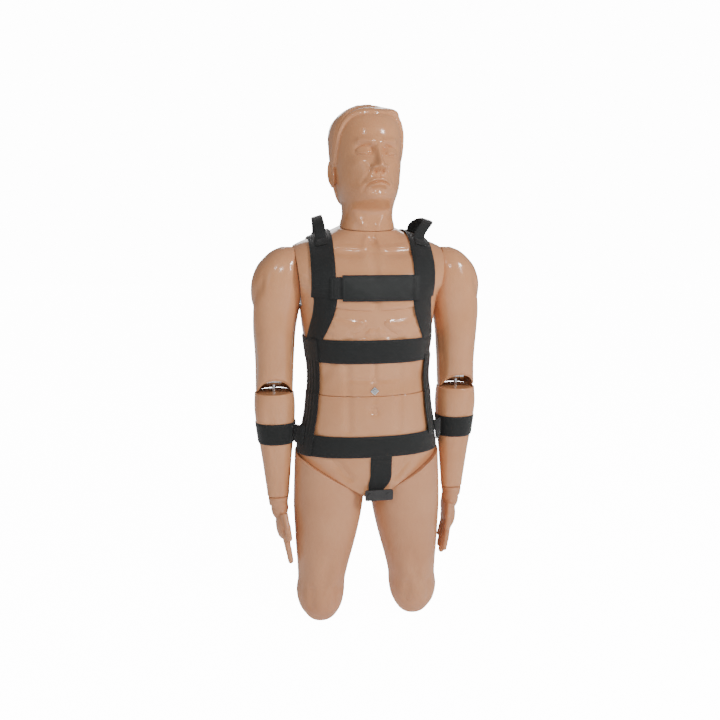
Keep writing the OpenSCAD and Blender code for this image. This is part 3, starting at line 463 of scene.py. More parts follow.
def thigh_point(h, a, off=0.0, relief=True):
    """Thigh at height h percent of the crotch's height and angle a."""
    z = h / 100 * CROTCH_Z + 0 * a
    x, y = section(a, smooth(THIGH, h, 2) + off, smooth(THIGH, h, 3) + off, smooth(THIGH, h, 4) + off,
                   LIMB_ROUND)
    x = x + smooth(THIGH, h, 1)
    if relief:
        d = (thigh_relief(x, z, np.sin(a) < 0) * np.abs(np.sin(a)) ** 0.8 * fade(h / 12)
             * fade((118 - h) / 14))
        y = y + np.sign(np.sin(a)) * d
    return np.stack([x, y, z], -1)


def thigh(s, side):
    """Closed form: a rounded knee end, rings up to the sloping hip seam, then a flat top."""
    a = angles(200)
    h = np.concatenate([6 * (1 - np.cos(np.linspace(0.06, 1.5, 16))), np.linspace(6.4, 82, 100)])
    rows = [thigh_point(v, a) for v in h]
    low = rows[-1]
    top = thigh_point(118.0, a)
    for _ in range(2):
        top = thigh_point(hip_cut(top[:, 0]) / CROTCH_Z * 100, a)
    top[:, 2] = hip_cut(top[:, 0])
    for u in np.concatenate([np.linspace(0.06, 0.94, 18), [0.97, 0.985, 0.995, 1.0]]):
        z = low[:, 2] + (top[:, 2] - low[:, 2]) * u
        rows.append(thigh_point(z / CROTCH_Z * 100, a, lip((1 - u) * 90.0, 2.4, 1.3)))
    rim = rows[-1]
    mid = top.mean(0)
    for k in (0.93, 0.5, 0.05):
        row = mid + (rim - mid) * k
        row[:, 2] = hip_cut(row[:, 0])
        rows.append(row)
    return grid_object("thigh_skin_" + side, mirror(np.stack(rows), s))


# ---- head: moulded shell with sculpted hair
NOSE = np.array([[1101, 0, 12], [1105, 4, 12], [1110, 15, 11.5], [1115, 22, 11], [1121, 21, 10],
                 [1129, 16, 8.5], [1140, 10.5, 7.5], [1152, 6.5, 7.5], [1164, 4, 9], [1178, 0, 12]])
HAIRLINE_R = np.array([[0, 1240], [20, 1238], [36, 1226], [50, 1198], [62, 1164], [74, 1140],
                       [86, 1130], [98, 1112], [108, 1077], [125, 1054], [150, 1044], [180, 1040]])
HAIRLINE_L = np.array([[0, 1240], [20, 1242], [34, 1240], [44, 1222], [54, 1186], [64, 1160],
                       [76, 1140], [86, 1130], [98, 1112], [108, 1077], [125, 1054], [180, 1040]])


def face_relief(x, z):
    """Depth of the face in front of the plain head: chin, lips, nose, eyes and brows."""
    ax = np.abs(x)
    d = 6 * bump(ax, z, (0, 1050), (21, 11)) - 3.6 * groove(ax, z, (0, 1066), (13, 1064), 6)
    d += 5 * bump(ax, z, (0, 1084), (27, 17))
    droop = 1082 - 6.5 * (ax / 28) ** 2
    wide = fade((32 - ax) / 9)
    d -= 4.0 * wide * np.exp(-((z - droop) / 1.9) ** 2)
    d += 3.4 * fade((27 - ax) / 14) * np.exp(-((z - droop - 5.2) / 3.6) ** 2)
    d += 4.0 * fade((25 - ax) / 14) * np.exp(-((z - droop + 6.0) / 4.2) ** 2)
    d -= 2.2 * groove(ax, z, (29, 1075), (33, 1066), 4.5) + 1.6 * groove(ax, z, (0, 1092), (0, 1101), 2.6)
    d -= 2.4 * groove(ax, z, (20, 1109), (36, 1084), 5)
    ridge = np.exp(-(ax / smooth(NOSE, z, 2)) ** 2.2)
    d += smooth(NOSE, z, 1) * ridge
    d += 9.0 * bump(ax, z, (14.5, 1113), (6.2, 6.8)) - 6.5 * bump(ax, z, (8, 1104.5), (4.4, 3.4))
    d -= 2.6 * groove(ax, z, (21, 1118), (20, 1107), 2.2)
    d -= 9.5 * bump(ax, z, (29, 1157), (19, 13)) + 4.0 * bump(ax, z, (17, 1154), (6, 9))
    lid = np.clip(1 - ((ax - 31.5) / 17.5) ** 2 - ((z - 1153) / 11.5) ** 2, 0, 1)
    d += 8.2 * lid ** 0.62
    lower = 1145.5 + 5.5 * ((ax - 31.5) / 17) ** 2
    d -= 1.7 * np.exp(-((z - lower) / 1.3) ** 2) * fade((17.5 - np.abs(ax - 31.5)) / 5)
    d += 1.2 * np.exp(-((z - lower + 3) / 1.8) ** 2) * fade((16 - np.abs(ax - 31.5)) / 6)
    d -= 1.2 * groove(ax, z, (20, 1165), (44, 1164), 2.2)
    d += 4.6 * groove(ax, z, (15, 1173), (42, 1177), 6.5) + 2.0 * bump(ax, z, (0, 1179), (12, 9))
    d += 3.5 * bump(ax, z, (52, 1130), (18, 13)) - 4.5 * bump(ax, z, (48, 1090), (15, 20))
    return d + 2.0 * bump(ax, z, (0, 1208), (38, 20))


def hair(x, y, z):
    """Thickness of the sculpted hair: a step at the hairline, ridges that follow it, and a
    raised corner where it is swept up over the mannequin's left brow."""
    turn = np.degrees(np.arctan2(np.abs(x), -(y - 8)))
    line = np.where(x > 0, smooth(HAIRLINE_L, turn, 1), smooth(HAIRLINE_R, turn, 1))
    up = z - line
    front = fade((112 - turn) / 40)
    side = np.where(x > 0, 4.5, 6.0)
    thick = side * fade((up + 1.0) / 4.5)
    thick += 1.3 * np.cos((up - 9) / 15 * 2 * np.pi) * fade(up / 9) * fade((62 - up) / 40) * front
    thick += 0.7 * np.sin(turn / 7 + up / 9) * fade((up - 12) / 16) * (1 - 0.6 * front)
    thick += 9 * bump(x, z, (53, 1248), (19, 16)) * (y < 20) * fade((up + 1.0) / 4.5)
    part = groove(x, z, (63, 1234), (50, 1272), 4)
    return thick - 3.0 * part * fade(up / 6)


def tip(P, about=(0.0, 10.0, 1030.0), back=math.radians(6), turn=math.radians(5)):
    """The head above the neck leans back and turns a little to its left."""
    w = fade((P[..., 2] - 1010) / 50)
    x, y, z = (P[..., k] - about[k] for k in range(3))
    c, s = np.cos(back * w), np.sin(back * w)
    y, z = c * y + s * z, -s * y + c * z
    c, s = np.cos(turn * w), np.sin(turn * w)
    x, y = c * x - s * y, s * x + c * y
    return np.stack([x + about[0], y + about[1], z + about[2]], -1)


def head():
    """Closed surface: rings of sections up from the neck seam, pushed out along the section by
    the face and the hair, then leant back."""
    t = np.arange(380) * 2 * np.pi / 380
    a = t - 0.5 * np.cos(t)
    edge = np.array([0, 0.5, 1.2, 2.1, 3.2])
    z0 = np.concatenate([edge, np.linspace(5, 42, 22), np.linspace(43.2, 188, 146),
                         np.linspace(189.5, 268, 58), HEAD_H - 7 * np.cos(np.linspace(0.25, 1.57, 14)) ** 2])
    z0 = np.unique(np.round(z0, 3))
    h = (z0 / HEAD_H * 100)[:, None] + 0 * a
    off = lip(z0, 2.4, 1.2)[:, None]
    x, y = section(a, smooth(HEAD, h, 1) + off, smooth(HEAD, h, 2) + off, smooth(HEAD, h, 3) + off,
                   LIMB_ROUND)
    z = z0[:, None] + NECK_Z + SEAM_GAP + NECK_SLOPE * (1 - fade(h / 25)) * y
    front = fade(-y / 30)
    y = y - face_relief(x, z) * front * fade((z - 1024) / 12)
    d = hair(x, y, z)
    r = np.stack([x, y - 5, np.maximum(z - 1197, 0)], -1)
    P = np.stack([x, y, z], -1) + r / np.maximum(np.linalg.norm(r, axis=-1, keepdims=True), 1) * d[..., None]
    for s in (-1, 1):
        cord = groove(P[..., 0], P[..., 2], (s * 18, 1000), (s * 46, 1034), 8) * front
        P[..., 1] -= 2.5 * cord
    return grid_object("head_skin", tip(P))


EAR = np.array([[0, 0.5, -9], [15, 0.62, -2], [30, 0.84, 4], [45, 0.99, 8.5], [54, 1.0, 11],
                [62, 0.93, 12.3], [69, 0.82, 10.5], [76, 0.70, 7.5], [83, 0.58, 9.0], [90, 0.42, 6.5],
                [95, 0.25, 2.5], [100, 0.08, 1.5]])


def ear(s, side):
    """Closed surface: rings that grow out from the head to the ear's rolled rim and then in to
    its hollow, along one profile of radius and height; the outline narrows to the lobe."""
    f = np.arange(64) * 2 * np.pi / 64
    t = np.linspace(0, 100, 44)[:, None]
    r, out = smooth(EAR, t, 1), smooth(EAR, t, 2)
    v = r * np.sin(f) * 33
    u = r * np.cos(f) * 18 * (1 - 0.32 * fade(-v / 40 + 0.1)) + 3
    out = out - 3.0 * fade((-v - 16) / 16) * (t > 50) + 0.10 * u
    k = math.radians(20)
    x = 74 + out * math.cos(k) + u * math.sin(k) * 0.4
    P = np.stack([x, 10 + u * math.cos(k) - out * math.sin(k) * 0.3 + v * 0.12, 1122 + v], -1)
    return grid_object("ear_" + side, tip(mirror(P, s)))


# ---- hands: each digit is knuckle, middle joint and tip from the wrist, and its radius
DIGITS = [[(-16, -30, -96), (-24, -36, -132), (-27, -34, -164), 8.5],
          [(-14, -12, -100), (-24, -14, -140), (-29, -12, -179), 9.0],
          [(-13, 7, -98), (-23, 8, -136), (-28, 8, -172), 8.5],
          [(-11, 24, -92), (-19, 27, -124), (-24, 26, -150), 7.5],
          [(-12, -30, -38), (-21, -46, -70), (-24, -50, -104), 9.5]]


def blob(at, size, lean=(0, 0, 1)):
    """Ellipsoid rings: points at + size * (cos u cos v, cos u sin v, sin u), turned so that its
    long side follows lean."""
    u = np.linspace(-1.45, 1.45, 11)[:, None]
    v = np.arange(20) * 2 * np.pi / 20
    z = np.array(lean, float) / np.linalg.norm(lean)
    x = np.cross([0.0, 1.0, 0.0], z)
    x /= np.linalg.norm(x)
    y = np.cross(z, x)
    local = np.stack([size[0] * np.cos(u) * np.cos(v), size[1] * np.cos(u) * np.sin(v),
                      size[2] * np.sin(u) + 0 * v], -1)
    return np.array(at) + local @ np.stack([x, y, z])


def digit(a, b, c, r):
    """Rings along the knuckle, joint and tip, thicker at the joints and narrower between."""
    a, b, c = (np.array(p, float) for p in (a, b, c))
    t = np.linspace(0, 1, 42)[:, None]
    path = np.where(t < 0.56, a + (b - a) * t / 0.56, b + (c - b) * (t - 0.56) / 0.44)
    path = path + np.array([1.5, 0, 0]) * np.sin(np.pi * t) ** 2
    size = r * (1.0 - 0.16 * t + 0.07 * np.exp(-((t - 0.54) / 0.06) ** 2)
                + 0.04 * np.exp(-((t - 0.80) / 0.05) ** 2) + 0.10 * np.exp(-(t / 0.12) ** 2))
    size = size * np.sqrt(np.clip((1.0 - t) / 0.055, 0.02, 1))
    v = np.arange(20) * 2 * np.pi / 20
    way = (c - a) / np.linalg.norm(c - a)
    x = np.cross([0.0, 1.0, 0.0], way)
    x /= np.linalg.norm(x)
    ring = np.cos(v)[:, None] * x * 0.92 + np.sin(v)[:, None] * np.cross(way, x)
    return path[:, None, :] + size[:, :, None] * ring[None]


def hand(s, side):
    """Palm, heel, knuckles and digits joined into one skin by a voxel remesh, then smoothed."""
    parts = [digit(*d) for d in DIGITS]
    parts += [blob((-3, 0, -32), (22, 26, 32)), blob((-8, -2, -68), (16.5, 39, 44)),
              blob((-10, -20, -54), (14, 14, 34), (-0.2, -0.5, -1)), blob((-9, 20, -60), (13, 15, 36)),
              blob((3, 14, -16), (11, 10, 11)), blob((0, 0, -14), (21, 22, 15))]
    for d in DIGITS[:4]:
        parts.append(blob((d[0][0] + 1, d[0][1], d[0][2] + 4), (11, d[3] + 1.5, 16), (-0.2, 0, -1)))
    v = np.arange(40) * 2 * np.pi / 40
    wrist = np.stack([np.stack([r * np.cos(v), r * np.sin(v) * 1.02, z + 0 * v], -1)
                      for r, z in ((23, -0.8), (24.4, -1.6), (25.2, -3.2), (25, -8.0), (23, -24))])
    pieces = []
    for k, part in enumerate(parts + [wrist]):
        P = part + [WRIST_X, 0, WRIST_Z]
        pieces.append(grid_object(f"part_{side}_{k}", mirror(P, s)))
    raw = joined(pieces)
    remesh = raw.modifiers.new("skin", "REMESH")
    remesh.mode, remesh.voxel_size = "VOXEL", 1.7 * MM
    soft = raw.modifiers.new("soft", "SMOOTH")
    soft.factor, soft.iterations = 0.6, 7
    bpy.context.view_layer.update()
    done = raw.evaluated_get(bpy.context.evaluated_depsgraph_get())
    mesh = bpy.data.meshes.new_from_object(done)
    bpy.data.objects.remove(raw)
    mesh.name = "hand_skin_" + side
    mesh.polygons.foreach_set("use_smooth", np.ones(len(mesh.polygons), bool))
    obj = bpy.data.objects.new("hand_skin_" + side, mesh)
    bpy.context.scene.collection.objects.link(obj)
    return obj


# ---- harness
def layer_offset(layer):
    """How far the middle of a strap in that layer stands off the skin."""
    return WEB_GAP + WEB_T / 2 + layer * (WEB_T + LAP)


def wave(rows, cols, size, seed):
    """Slow random unevenness of a strap: a sum of five sines along it and across it."""
    rng = np.random.default_rng(seed)
    u, v = np.linspace(0, 1, rows)[:, None], np.linspace(0, 1, cols)[None, :]
    total = 0
    for _ in range(5):
        k, m, p = rng.uniform(1, 7), rng.uniform(0, 2), rng.uniform(0, 6.3)
        total = total + np.sin(2 * np.pi * (k * u + m * v) + p)
    return total / 5 * size


def belt_rows(z0, z1, a0, a1, layer, rows, cols=15):
    """Strap that lies on the trunk between heights z0 and z1, from angle a0 to a1."""
    a = np.radians(np.linspace(a0, a1, rows))[:, None]
    z = np.linspace(z0, z1, cols)[None, :] + 0 * a
    return trunk_point(z, a + 0 * z, layer_offset(layer), False)


def over_shoulder(x, t, layer=0.0, front=CHEST_Z - 22, rear=MID_Z + 30):
    """Point of a strap over the shoulder: x across, t from -1 at its front end over the top of
    the trunk at 0 to its rear end at 1."""
    off = layer_offset(layer)
    zz = np.linspace(SHOULDER_Z - 12, NECK_Z + 12, 500)
    half = np.minimum.accumulate(trunk(zz, 1, off))
    top = np.interp(np.abs(x), half[::-1], zz[::-1])
    low = np.where(t < 0, front, rear)
    z = low + (top - low) * np.sin(np.pi / 2 * (1 - np.abs(t)))
    ratio = np.minimum(np.abs(x) / trunk(z, 1, off), 1)
    depth = np.where(t < 0, trunk(z, 2, off), trunk(z, 3, off))
    y = np.sign(t) * depth * (1 - ratio ** TRUNK_ROUND) ** (1 / TRUNK_ROUND)
    return np.stack([x, y, z + neck_rise(z) * y], -1)


STRAP_X, STRAP_W = 118.0, 54.0
CROTCH_TOP = 450.4
CUFF_X = SHOULDER_X + 53


def shoulder_strap(s, side):
    """From the chest strap over the shoulder to the mid strap behind."""
    t = np.linspace(-1, 1, 130)[:, None]
    x = STRAP_X + np.linspace(-0.5, 0.5, 17)[None, :] * STRAP_W + 0 * t
    C = over_shoulder(x, t + 0 * x)
    return ribbon("shoulder_webbing_" + side, mirror(C, s), relief=wave(130, 17, 0.35, 3 + s)), mirror(C, s)


def lift_loop(s, side):
    """Arch of webbing whose feet are sewn on top of the shoulder strap."""
    x = STRAP_X + np.linspace(-0.5, 0.5, 11)[None, :] * 25.0
    a = np.linspace(0, np.pi, 60)[:, None]
    p, q = over_shoulder(x, -0.2 + 0 * x, 1.0), over_shoulder(x, 0.06 + 0 * x, 1.0)
    e = (q - p) / 2
    w = np.cos(a)[..., None]
    arch = (p + q) / 2 - e * w * (1 + 0.10 * np.sin(a) ** 2)[..., None]
    arch[..., 2] += (36 if s > 0 else 42) * np.sin(a) ** 0.92
    arch[..., 0] += (30 if s > 0 else 5) * np.sin(a) ** 2
    foot = np.linspace(-0.34, -0.205, 12)[:, None]
    heel = np.linspace(0.065, 0.17, 10)[:, None]
    C = np.concatenate([over_shoulder(x + 0 * foot, foot + 0 * x, 0.85), arch,
                        over_shoulder(x + 0 * heel, heel + 0 * x, 0.85)])
    return ribbon("lift_webbing_" + side, mirror(C, s)), mirror(C, s)


def front_rows(x0, x1, z0, z1, layer, rows, cols=15):
    """Strap across the chest between x0 and x1; layer may change along it."""
    x = np.linspace(x0, x1, rows)[:, None]
    z = np.linspace(z0, z1, cols)[None, :] + 0 * x
    off = layer_offset(np.asarray(layer)) + 0 * z
    w = trunk(z, 1, 0.0) + off
    y = (-(trunk(z, 2, 0.0) + off)
         * np.maximum(1 - (np.abs(x) / w) ** TRUNK_ROUND, 0) ** (1 / TRUNK_ROUND))
    return np.stack([x + 0 * z, y, z + 0 * x], -1)


def patch(z0, z1, low, high, layer, rows, cols=15, bend=1.0):
    """Strap that runs up the trunk: its sides run from the angles low to the angles high, in
    degrees, sooner where bend is above 1; layer is one value for each row."""
    t = np.linspace(0, 1, rows)[:, None]
    v = np.linspace(0, 1, cols)[None, :]
    k = 1 - (1 - t) ** bend
    a = np.radians((low[0] + (high[0] - low[0]) * k) * (1 - v)
                   + (low[1] + (high[1] - low[1]) * k) * v)
    z = z0 + (z1 - z0) * t + 0 * v
    layer = np.broadcast_to(np.asarray(layer, float), (rows,))
    return np.stack([trunk_point(z[k], a[k], layer_offset(layer[k]), False) for k in range(rows)])


def tucked(rows, ends=6, high=0.0, low=-0.42):
    """Layer of a strap whose two ends pass under the straps that cross it."""
    t = np.arange(rows) / (rows - 1)
    k = fade(np.minimum(t, 1 - t) * rows / ends - 0.6)
    return low + (high - low) * k


def crotch_strap(back):
    """From the waist strap down the middle, drawn in between the thighs to the crotch."""
    u = np.concatenate([np.linspace(-0.30, 0.97, 60), [1.0]])[:, None]
    v = np.linspace(-1, 1, 15)[None, :]
    off = layer_offset(0)
    z = CROTCH_TOP + (CROTCH_Z - 1.5 - off - CROTCH_TOP) * u + 0 * v
    half = 26 + (7 - 26) * fade((u - 0.55) / 0.45)
    x = 19 * (1 - fade((u - 0.4) / 0.6)) + half * v
    off = np.where(u < 0.06, layer_offset(-0.42), off) + 0 * v
    w = trunk(z, 1, 0.0) + off
    depth = trunk(np.maximum(z, CROTCH_Z), 3 if back else 2, 0.0) + off
    y = (1 if back else -1) * depth * (1 - (np.abs(x) / w) ** TRUNK_ROUND) ** (1 / TRUNK_ROUND)
    C = np.stack([x, y, z], -1)
    inward = np.linspace(0.93, 0.02, 14)[:, None, None]
    under = C[-1] * [1, 0, 1] + C[-1][None] * np.array([0, 1, 0]) * inward
    return np.concatenate([C, under])


def cuff(s, side):
    """Band round the forearm, its overlap end lying on it."""
    a = angles(120)
    h0, h1 = ((ELBOW_Z - 125 + k * 26 - WRIST_Z) / FOREARM_L * 100 for k in (-1, 1))
    h = np.linspace(h0, h1, 17)
    C = np.stack([forearm_point(v, a, 2.2, False) for v in h], 1)
    band = ribbon("cuff_webbing_" + side, mirror(C, s), loop=True, relief=wave(120, 17, 0.2, 11 + s),
                  about=s * CUFF_X)
    b = np.radians(np.linspace(60, 118, 34))
    T = np.stack([forearm_point(v, b, 4.5, False) for v in h], 1)
    T[:3] = T[:3] - (T[:3] - C[20:23]) * np.array([0.55, 0.3, 0.1])[:, None, None]
    return band, ribbon("cuff_tab_" + side, mirror(T, s), about=s * CUFF_X), mirror(C, s), mirror(T, s)


def cuff_tie(s, side):
    """Short strap from the side strap to the cuff's inner side, twisted a little."""
    u = np.linspace(0, 1, 26)[:, None]
    v = np.linspace(-1, 1, 13)[None, :]
    start = trunk_point(500 + 25 * v[0], math.radians(-24) + 0 * v[0], layer_offset(1.9), False)
    end = np.stack([183.5 + 0 * v[0], -27 + 0 * v[0], 501 + 23 * v[0]], -1)
    bow = np.array([0.0, -5.0, 0.0]) * np.sin(np.pi * u)[..., None]
    C = start[None] * (1 - u[..., None]) + end[None] * u[..., None] + bow
    return ribbon("cuff_tie_webbing_" + side, mirror(C, s)), mirror(C, s)


def sewing(name, runs):
    """Stitches: small flat capsules, 3 mm long every 4.6 mm, set along each run of points and
    standing on its normals. A run is (points, normals)."""
    u = np.array([-1, -0.6, 0.6, 1])
    ring = np.arange(6) * 2 * np.pi / 6
    size = np.sqrt(1 - 0.75 * np.abs(u) ** 3)
    base = np.stack([np.repeat(u * 1.55, 6), np.outer(size, np.cos(ring)).ravel() * 0.42,
                     np.outer(size, np.sin(ring)).ravel() * 0.30], -1)
    face = [[r * 6 + c, r * 6 + (c + 1) % 6, (r + 1) * 6 + (c + 1) % 6, (r + 1) * 6 + c]
            for r in range(3) for c in range(6)]
    ends = [[5, 4, 3, 2, 1, 0], [18, 19, 20, 21, 22, 23]]
    verts, faces, count = [], [], 0
    for points, n in runs:
        step = np.linalg.norm(np.diff(points, axis=0), axis=1)
        along = np.concatenate([[0], np.cumsum(step)])
        at = np.arange(2.3, along[-1] - 2.0, 4.6)
        if len(at) == 0:
            continue
        pos = np.stack([np.interp(at, along, points[:, k]) for k in range(3)], -1)
        nrm = np.stack([np.interp(at, along, n[:, k]) for k in range(3)], -1)
        ahead = np.stack([np.interp(at + 1.5, along, points[:, k]) for k in range(3)], -1) - pos
        ahead /= np.maximum(np.linalg.norm(ahead, axis=1, keepdims=True), 1e-6)
        nrm /= np.maximum(np.linalg.norm(nrm, axis=1, keepdims=True), 1e-6)
        wide = np.cross(nrm, ahead)
        V = (pos[:, None] + base[None, :, :1] * ahead[:, None] + base[None, :, 1:2] * wide[:, None]
             + base[None, :, 2:] * nrm[:, None])
        verts.append(V.reshape(-1, 3))
        k = (count + np.arange(len(at)) * 24)[:, None, None]
        faces += (np.array(face)[None] + k).reshape(-1, 4).tolist()
        faces += (np.array(ends)[None] + k).reshape(-1, 6).tolist()
        count += 24 * len(at)
    V = np.concatenate(verts)
    return make_object(name, V, faces, None, 60)


def edge_runs(C, insets=(0.86,), loop=False, lift=WEB_T / 2 + 0.1, about=0.0):
    """Runs of stitches along both edges of a strap, at these shares of its half width."""
    n = normals(C, loop, about)
    cols = C.shape[1]
    runs = []
    for k in insets:
        for side in (-k, k):
            j = int(round((side + 1) / 2 * (cols - 1)))
            runs.append((C[:, j] + n[:, j] * lift, n[:, j]))
    return runs


def cross_runs(C, rows, lift=WEB_T / 2 + 0.1, span=0.84):
    """Runs of stitches across a strap at these rows."""
    n = normals(C)
    cols = C.shape[1]
    lo, hi = int((1 - span) / 2 * (cols - 1)), int(round((1 + span) / 2 * (cols - 1))) + 1
    return [(C[r, lo:hi] + n[r, lo:hi] * lift, n[r, lo:hi]) for r in rows]


# ---- finishes
def nodes_of(name):
    """New material: its node tree, its shader and a function that adds a node and sets it."""
    mat = bpy.data.materials.new(name)
    mat.use_nodes = True
    tree = mat.node_tree
    shader = tree.nodes["Principled BSDF"]

    def add(kind, links=(), **sets):
        node = tree.nodes.new("ShaderNode" + kind)
        for key, value in sets.items():
            if hasattr(node, key):
                setattr(node, key, value)
            else:
                node.inputs[key.replace("_", " ")].default_value = value
        for socket, source in links:
            tree.links.new(source, node.inputs[socket])
        return node

    return mat, tree, shader, add


def linear(r, g, b):
    """Linear colour from 8-bit sRGB values."""
    c = np.array([r, g, b]) / 255
    return [*np.where(c <= 0.04045, c / 12.92, ((c + 0.055) / 1.055) ** 2.4).tolist(), 1.0]


def blend_colours(tree, add, factor, dark, light):
    """Colour that goes from dark to light with the factor."""
    mix = add("Mix", data_type="RGBA")
    tree.links.new(factor, mix.inputs[0])
    mix.inputs[6].default_value, mix.inputs[7].default_value = dark, light
    return mix.outputs[2]


def skin_finish(name, light, dark, gloss, ripple):
    """Moulded plastic: warm mottling at two sizes, faint scuffs in its roughness, and a slow
    ripple from the mould with a fine orange peel over it."""
    mat, tree, shader, add = nodes_of(name)
    coords = add("TexCoord").outputs["Object"]
    broad = add("TexNoise", [("Vector", coords)], Scale=7.0, Detail=3.0)
    fine = add("TexNoise", [("Vector", coords)], Scale=160.0, Detail=2.0)
    grain = add("MapRange", [("Value", fine.outputs["Fac"])], To_Min=-0.06, To_Max=0.06)
    both = add("Math", [(0, broad.outputs["Fac"]), (1, grain.outputs[0])], operation="ADD")
    spread = add("MapRange", [("Value", both.outputs[0])], From_Min=0.3, From_Max=0.7)
    tree.links.new(blend_colours(tree, add, spread.outputs[0], dark, light), shader.inputs["Base Color"])
    scuff = add("TexNoise", [("Vector", coords)], Scale=28.0, Detail=6.0, Roughness=0.65)
    rough = add("MapRange", [("Value", scuff.outputs["Fac"])], From_Min=0.42, From_Max=0.72,
                To_Min=gloss, To_Max=gloss * 1.55)
    tree.links.new(rough.outputs[0], shader.inputs["Roughness"])
    wave_bump = add("TexNoise", [("Vector", coords)], Scale=22.0, Detail=1.0)
    low = add("Bump", [("Height", wave_bump.outputs["Fac"])], Strength=ripple, Distance=0.004)
    peel = add("TexNoise", [("Vector", coords)], Scale=520.0, Detail=1.0)
    top = add("Bump", [("Height", peel.outputs["Fac"]), ("Normal", low.outputs[0])],
              Strength=0.05, Distance=0.0006)
    tree.links.new(top.outputs[0], shader.inputs["Normal"])
    shader.inputs["Subsurface Weight"].default_value = 0.06
    shader.inputs["Subsurface Radius"].default_value = (0.006, 0.003, 0.002)
    shader.inputs["Specular IOR Level"].default_value = 0.5
    return mat


def webbing_finish(name, light, dark, pitch, depth, rough):
    """Woven tape on its own UV: ribs along the strap crossed by weft beats, in height and in
    colour; in the colour the rib tops are a painted highlight and the grooves a painted shade, with dusty,
    slightly faded patches."""
    mat, tree, shader, add = nodes_of(name)
    uv = add("TexCoord").outputs["UV"]
    ribs = add("TexWave", [("Vector", uv)], wave_type="BANDS", bands_direction="Y",
               Scale=1 / pitch / 3.0, Distortion=0.0)
    weft = add("TexWave", [("Vector", uv)], wave_type="BANDS", bands_direction="X",
               Scale=1 / pitch / 2.2, Distortion=0.4, Detail=1.0)
    weave_height_and_shade = add("Math", [(0, ribs.outputs["Fac"]), (1, weft.outputs["Fac"])], operation="MULTIPLY")
    dust = add("TexNoise", [("Vector", add("TexCoord").outputs["Object"])], Scale=24.0, Detail=5.0)
    fibre = add("TexNoise", [("Vector", uv)], Scale=900.0, Detail=2.0)
    # Colour: real dust patches plus the woven ribs, whose tops are painted highlight and whose grooves are
    # painted shade.
    total = add("Math", [(0, weave_height_and_shade.outputs[0]), (1, dust.outputs["Fac"])], operation="ADD")
    spread = add("MapRange", [("Value", total.outputs[0])], From_Min=0.35, From_Max=1.45)
    tree.links.new(blend_colours(tree, add, spread.outputs[0], dark, light), shader.inputs["Base Color"])
    height = add("Math", [(0, weave_height_and_shade.outputs[0]), (1, fibre.outputs["Fac"])], operation="ADD")
    relief = add("Bump", [("Height", height.outputs[0])], Strength=depth, Distance=0.0007)
    tree.links.new(relief.outputs[0], shader.inputs["Normal"])
    roughness = add("MapRange", [("Value", dust.outputs["Fac"])], To_Min=rough - 0.1, To_Max=rough + 0.12)
    tree.links.new(roughness.outputs[0], shader.inputs["Roughness"])
    shader.inputs["Sheen Weight"].default_value = 0.25
    shader.inputs["Sheen Roughness"].default_value = 0.4
    shader.inputs["Specular IOR Level"].default_value = 0.35
    return mat


def metal_finish(name, light, dark, rough, scratch):
    """Plated steel: fine turned lines and scratches in its roughness, dulled patches."""
    mat, tree, shader, add = nodes_of(name)
    coords = add("TexCoord").outputs["Object"]
    patchy = add("TexNoise", [("Vector", coords)], Scale=90.0, Detail=4.0)
    tree.links.new(blend_colours(tree, add, patchy.outputs["Fac"], dark, light), shader.inputs["Base Color"])
    lines = add("TexNoise", [("Vector", add("Mapping", [("Vector", coords)], Scale=(1, 1, 9)).outputs[0])],
                Scale=300.0, Detail=3.0)
    r = add("MapRange", [("Value", lines.outputs["Fac"])], To_Min=rough * 0.6, To_Max=rough * 1.7)
    tree.links.new(r.outputs[0], shader.inputs["Roughness"])
    b = add("Bump", [("Height", lines.outputs["Fac"])], Strength=scratch, Distance=0.0003)
    tree.links.new(b.outputs[0], shader.inputs["Normal"])
    shader.inputs["Metallic"].default_value = 1.0
    return mat


def plastic_finish(name, light, dark, rough):
    """Moulded or painted black: fine grain, and cloudy patches a little lighter and rougher."""
    mat, tree, shader, add = nodes_of(name)
    coords = add("TexCoord").outputs["Object"]
    grain = add("TexNoise", [("Vector", coords)], Scale=700.0, Detail=2.0)
    cloud = add("TexNoise", [("Vector", coords)], Scale=60.0, Detail=5.0)
    tree.links.new(blend_colours(tree, add, cloud.outputs["Fac"], dark, light), shader.inputs["Base Color"])
    r = add("MapRange", [("Value", cloud.outputs["Fac"])], To_Min=rough * 0.7, To_Max=rough * 1.3)
    tree.links.new(r.outputs[0], shader.inputs["Roughness"])
    b = add("Bump", [("Height", grain.outputs["Fac"])], Strength=0.2, Distance=0.0004)
    tree.links.new(b.outputs[0], shader.inputs["Normal"])
    return mat


SKIN_GLOSS = skin_finish("moulded_skin_gloss", linear(205, 147, 106), linear(194, 135, 94), 0.13, 0.22)
SKIN_SATIN = skin_finish("moulded_skin_satin", linear(202, 145, 106), linear(191, 132, 94), 0.36, 0.14)
WEBBING = webbing_finish("black_webbing", linear(27, 29, 30), linear(9, 10, 10), 0.0016, 0.5, 0.62)
PANEL = webbing_finish("panel_cloth", linear(22, 25, 25), linear(12, 14, 14), 0.0010, 0.3, 0.5)
THREAD = plastic_finish("black_thread", linear(46, 47, 48), linear(28, 29, 30), 0.6)
BLACK = plastic_finish("buckle_black", linear(52, 50, 50), linear(20, 20, 21), 0.35)
CHROME = metal_finish("chrome_steel", linear(225, 226, 228), linear(188, 190, 194), 0.13, 0.08)
ZINC = metal_finish("zinc_steel", linear(205, 206, 205), linear(160, 162, 162), 0.30, 0.15)


def place(obj, body, finish, slot, *nodes):
    """The piece takes its finish, rides on its body and stands for these nodes of the frame."""
    obj.data.materials.clear()
    obj.data.materials.append(finish)
    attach(obj, body)
    if nodes:
        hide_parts(*nodes)
    return obj


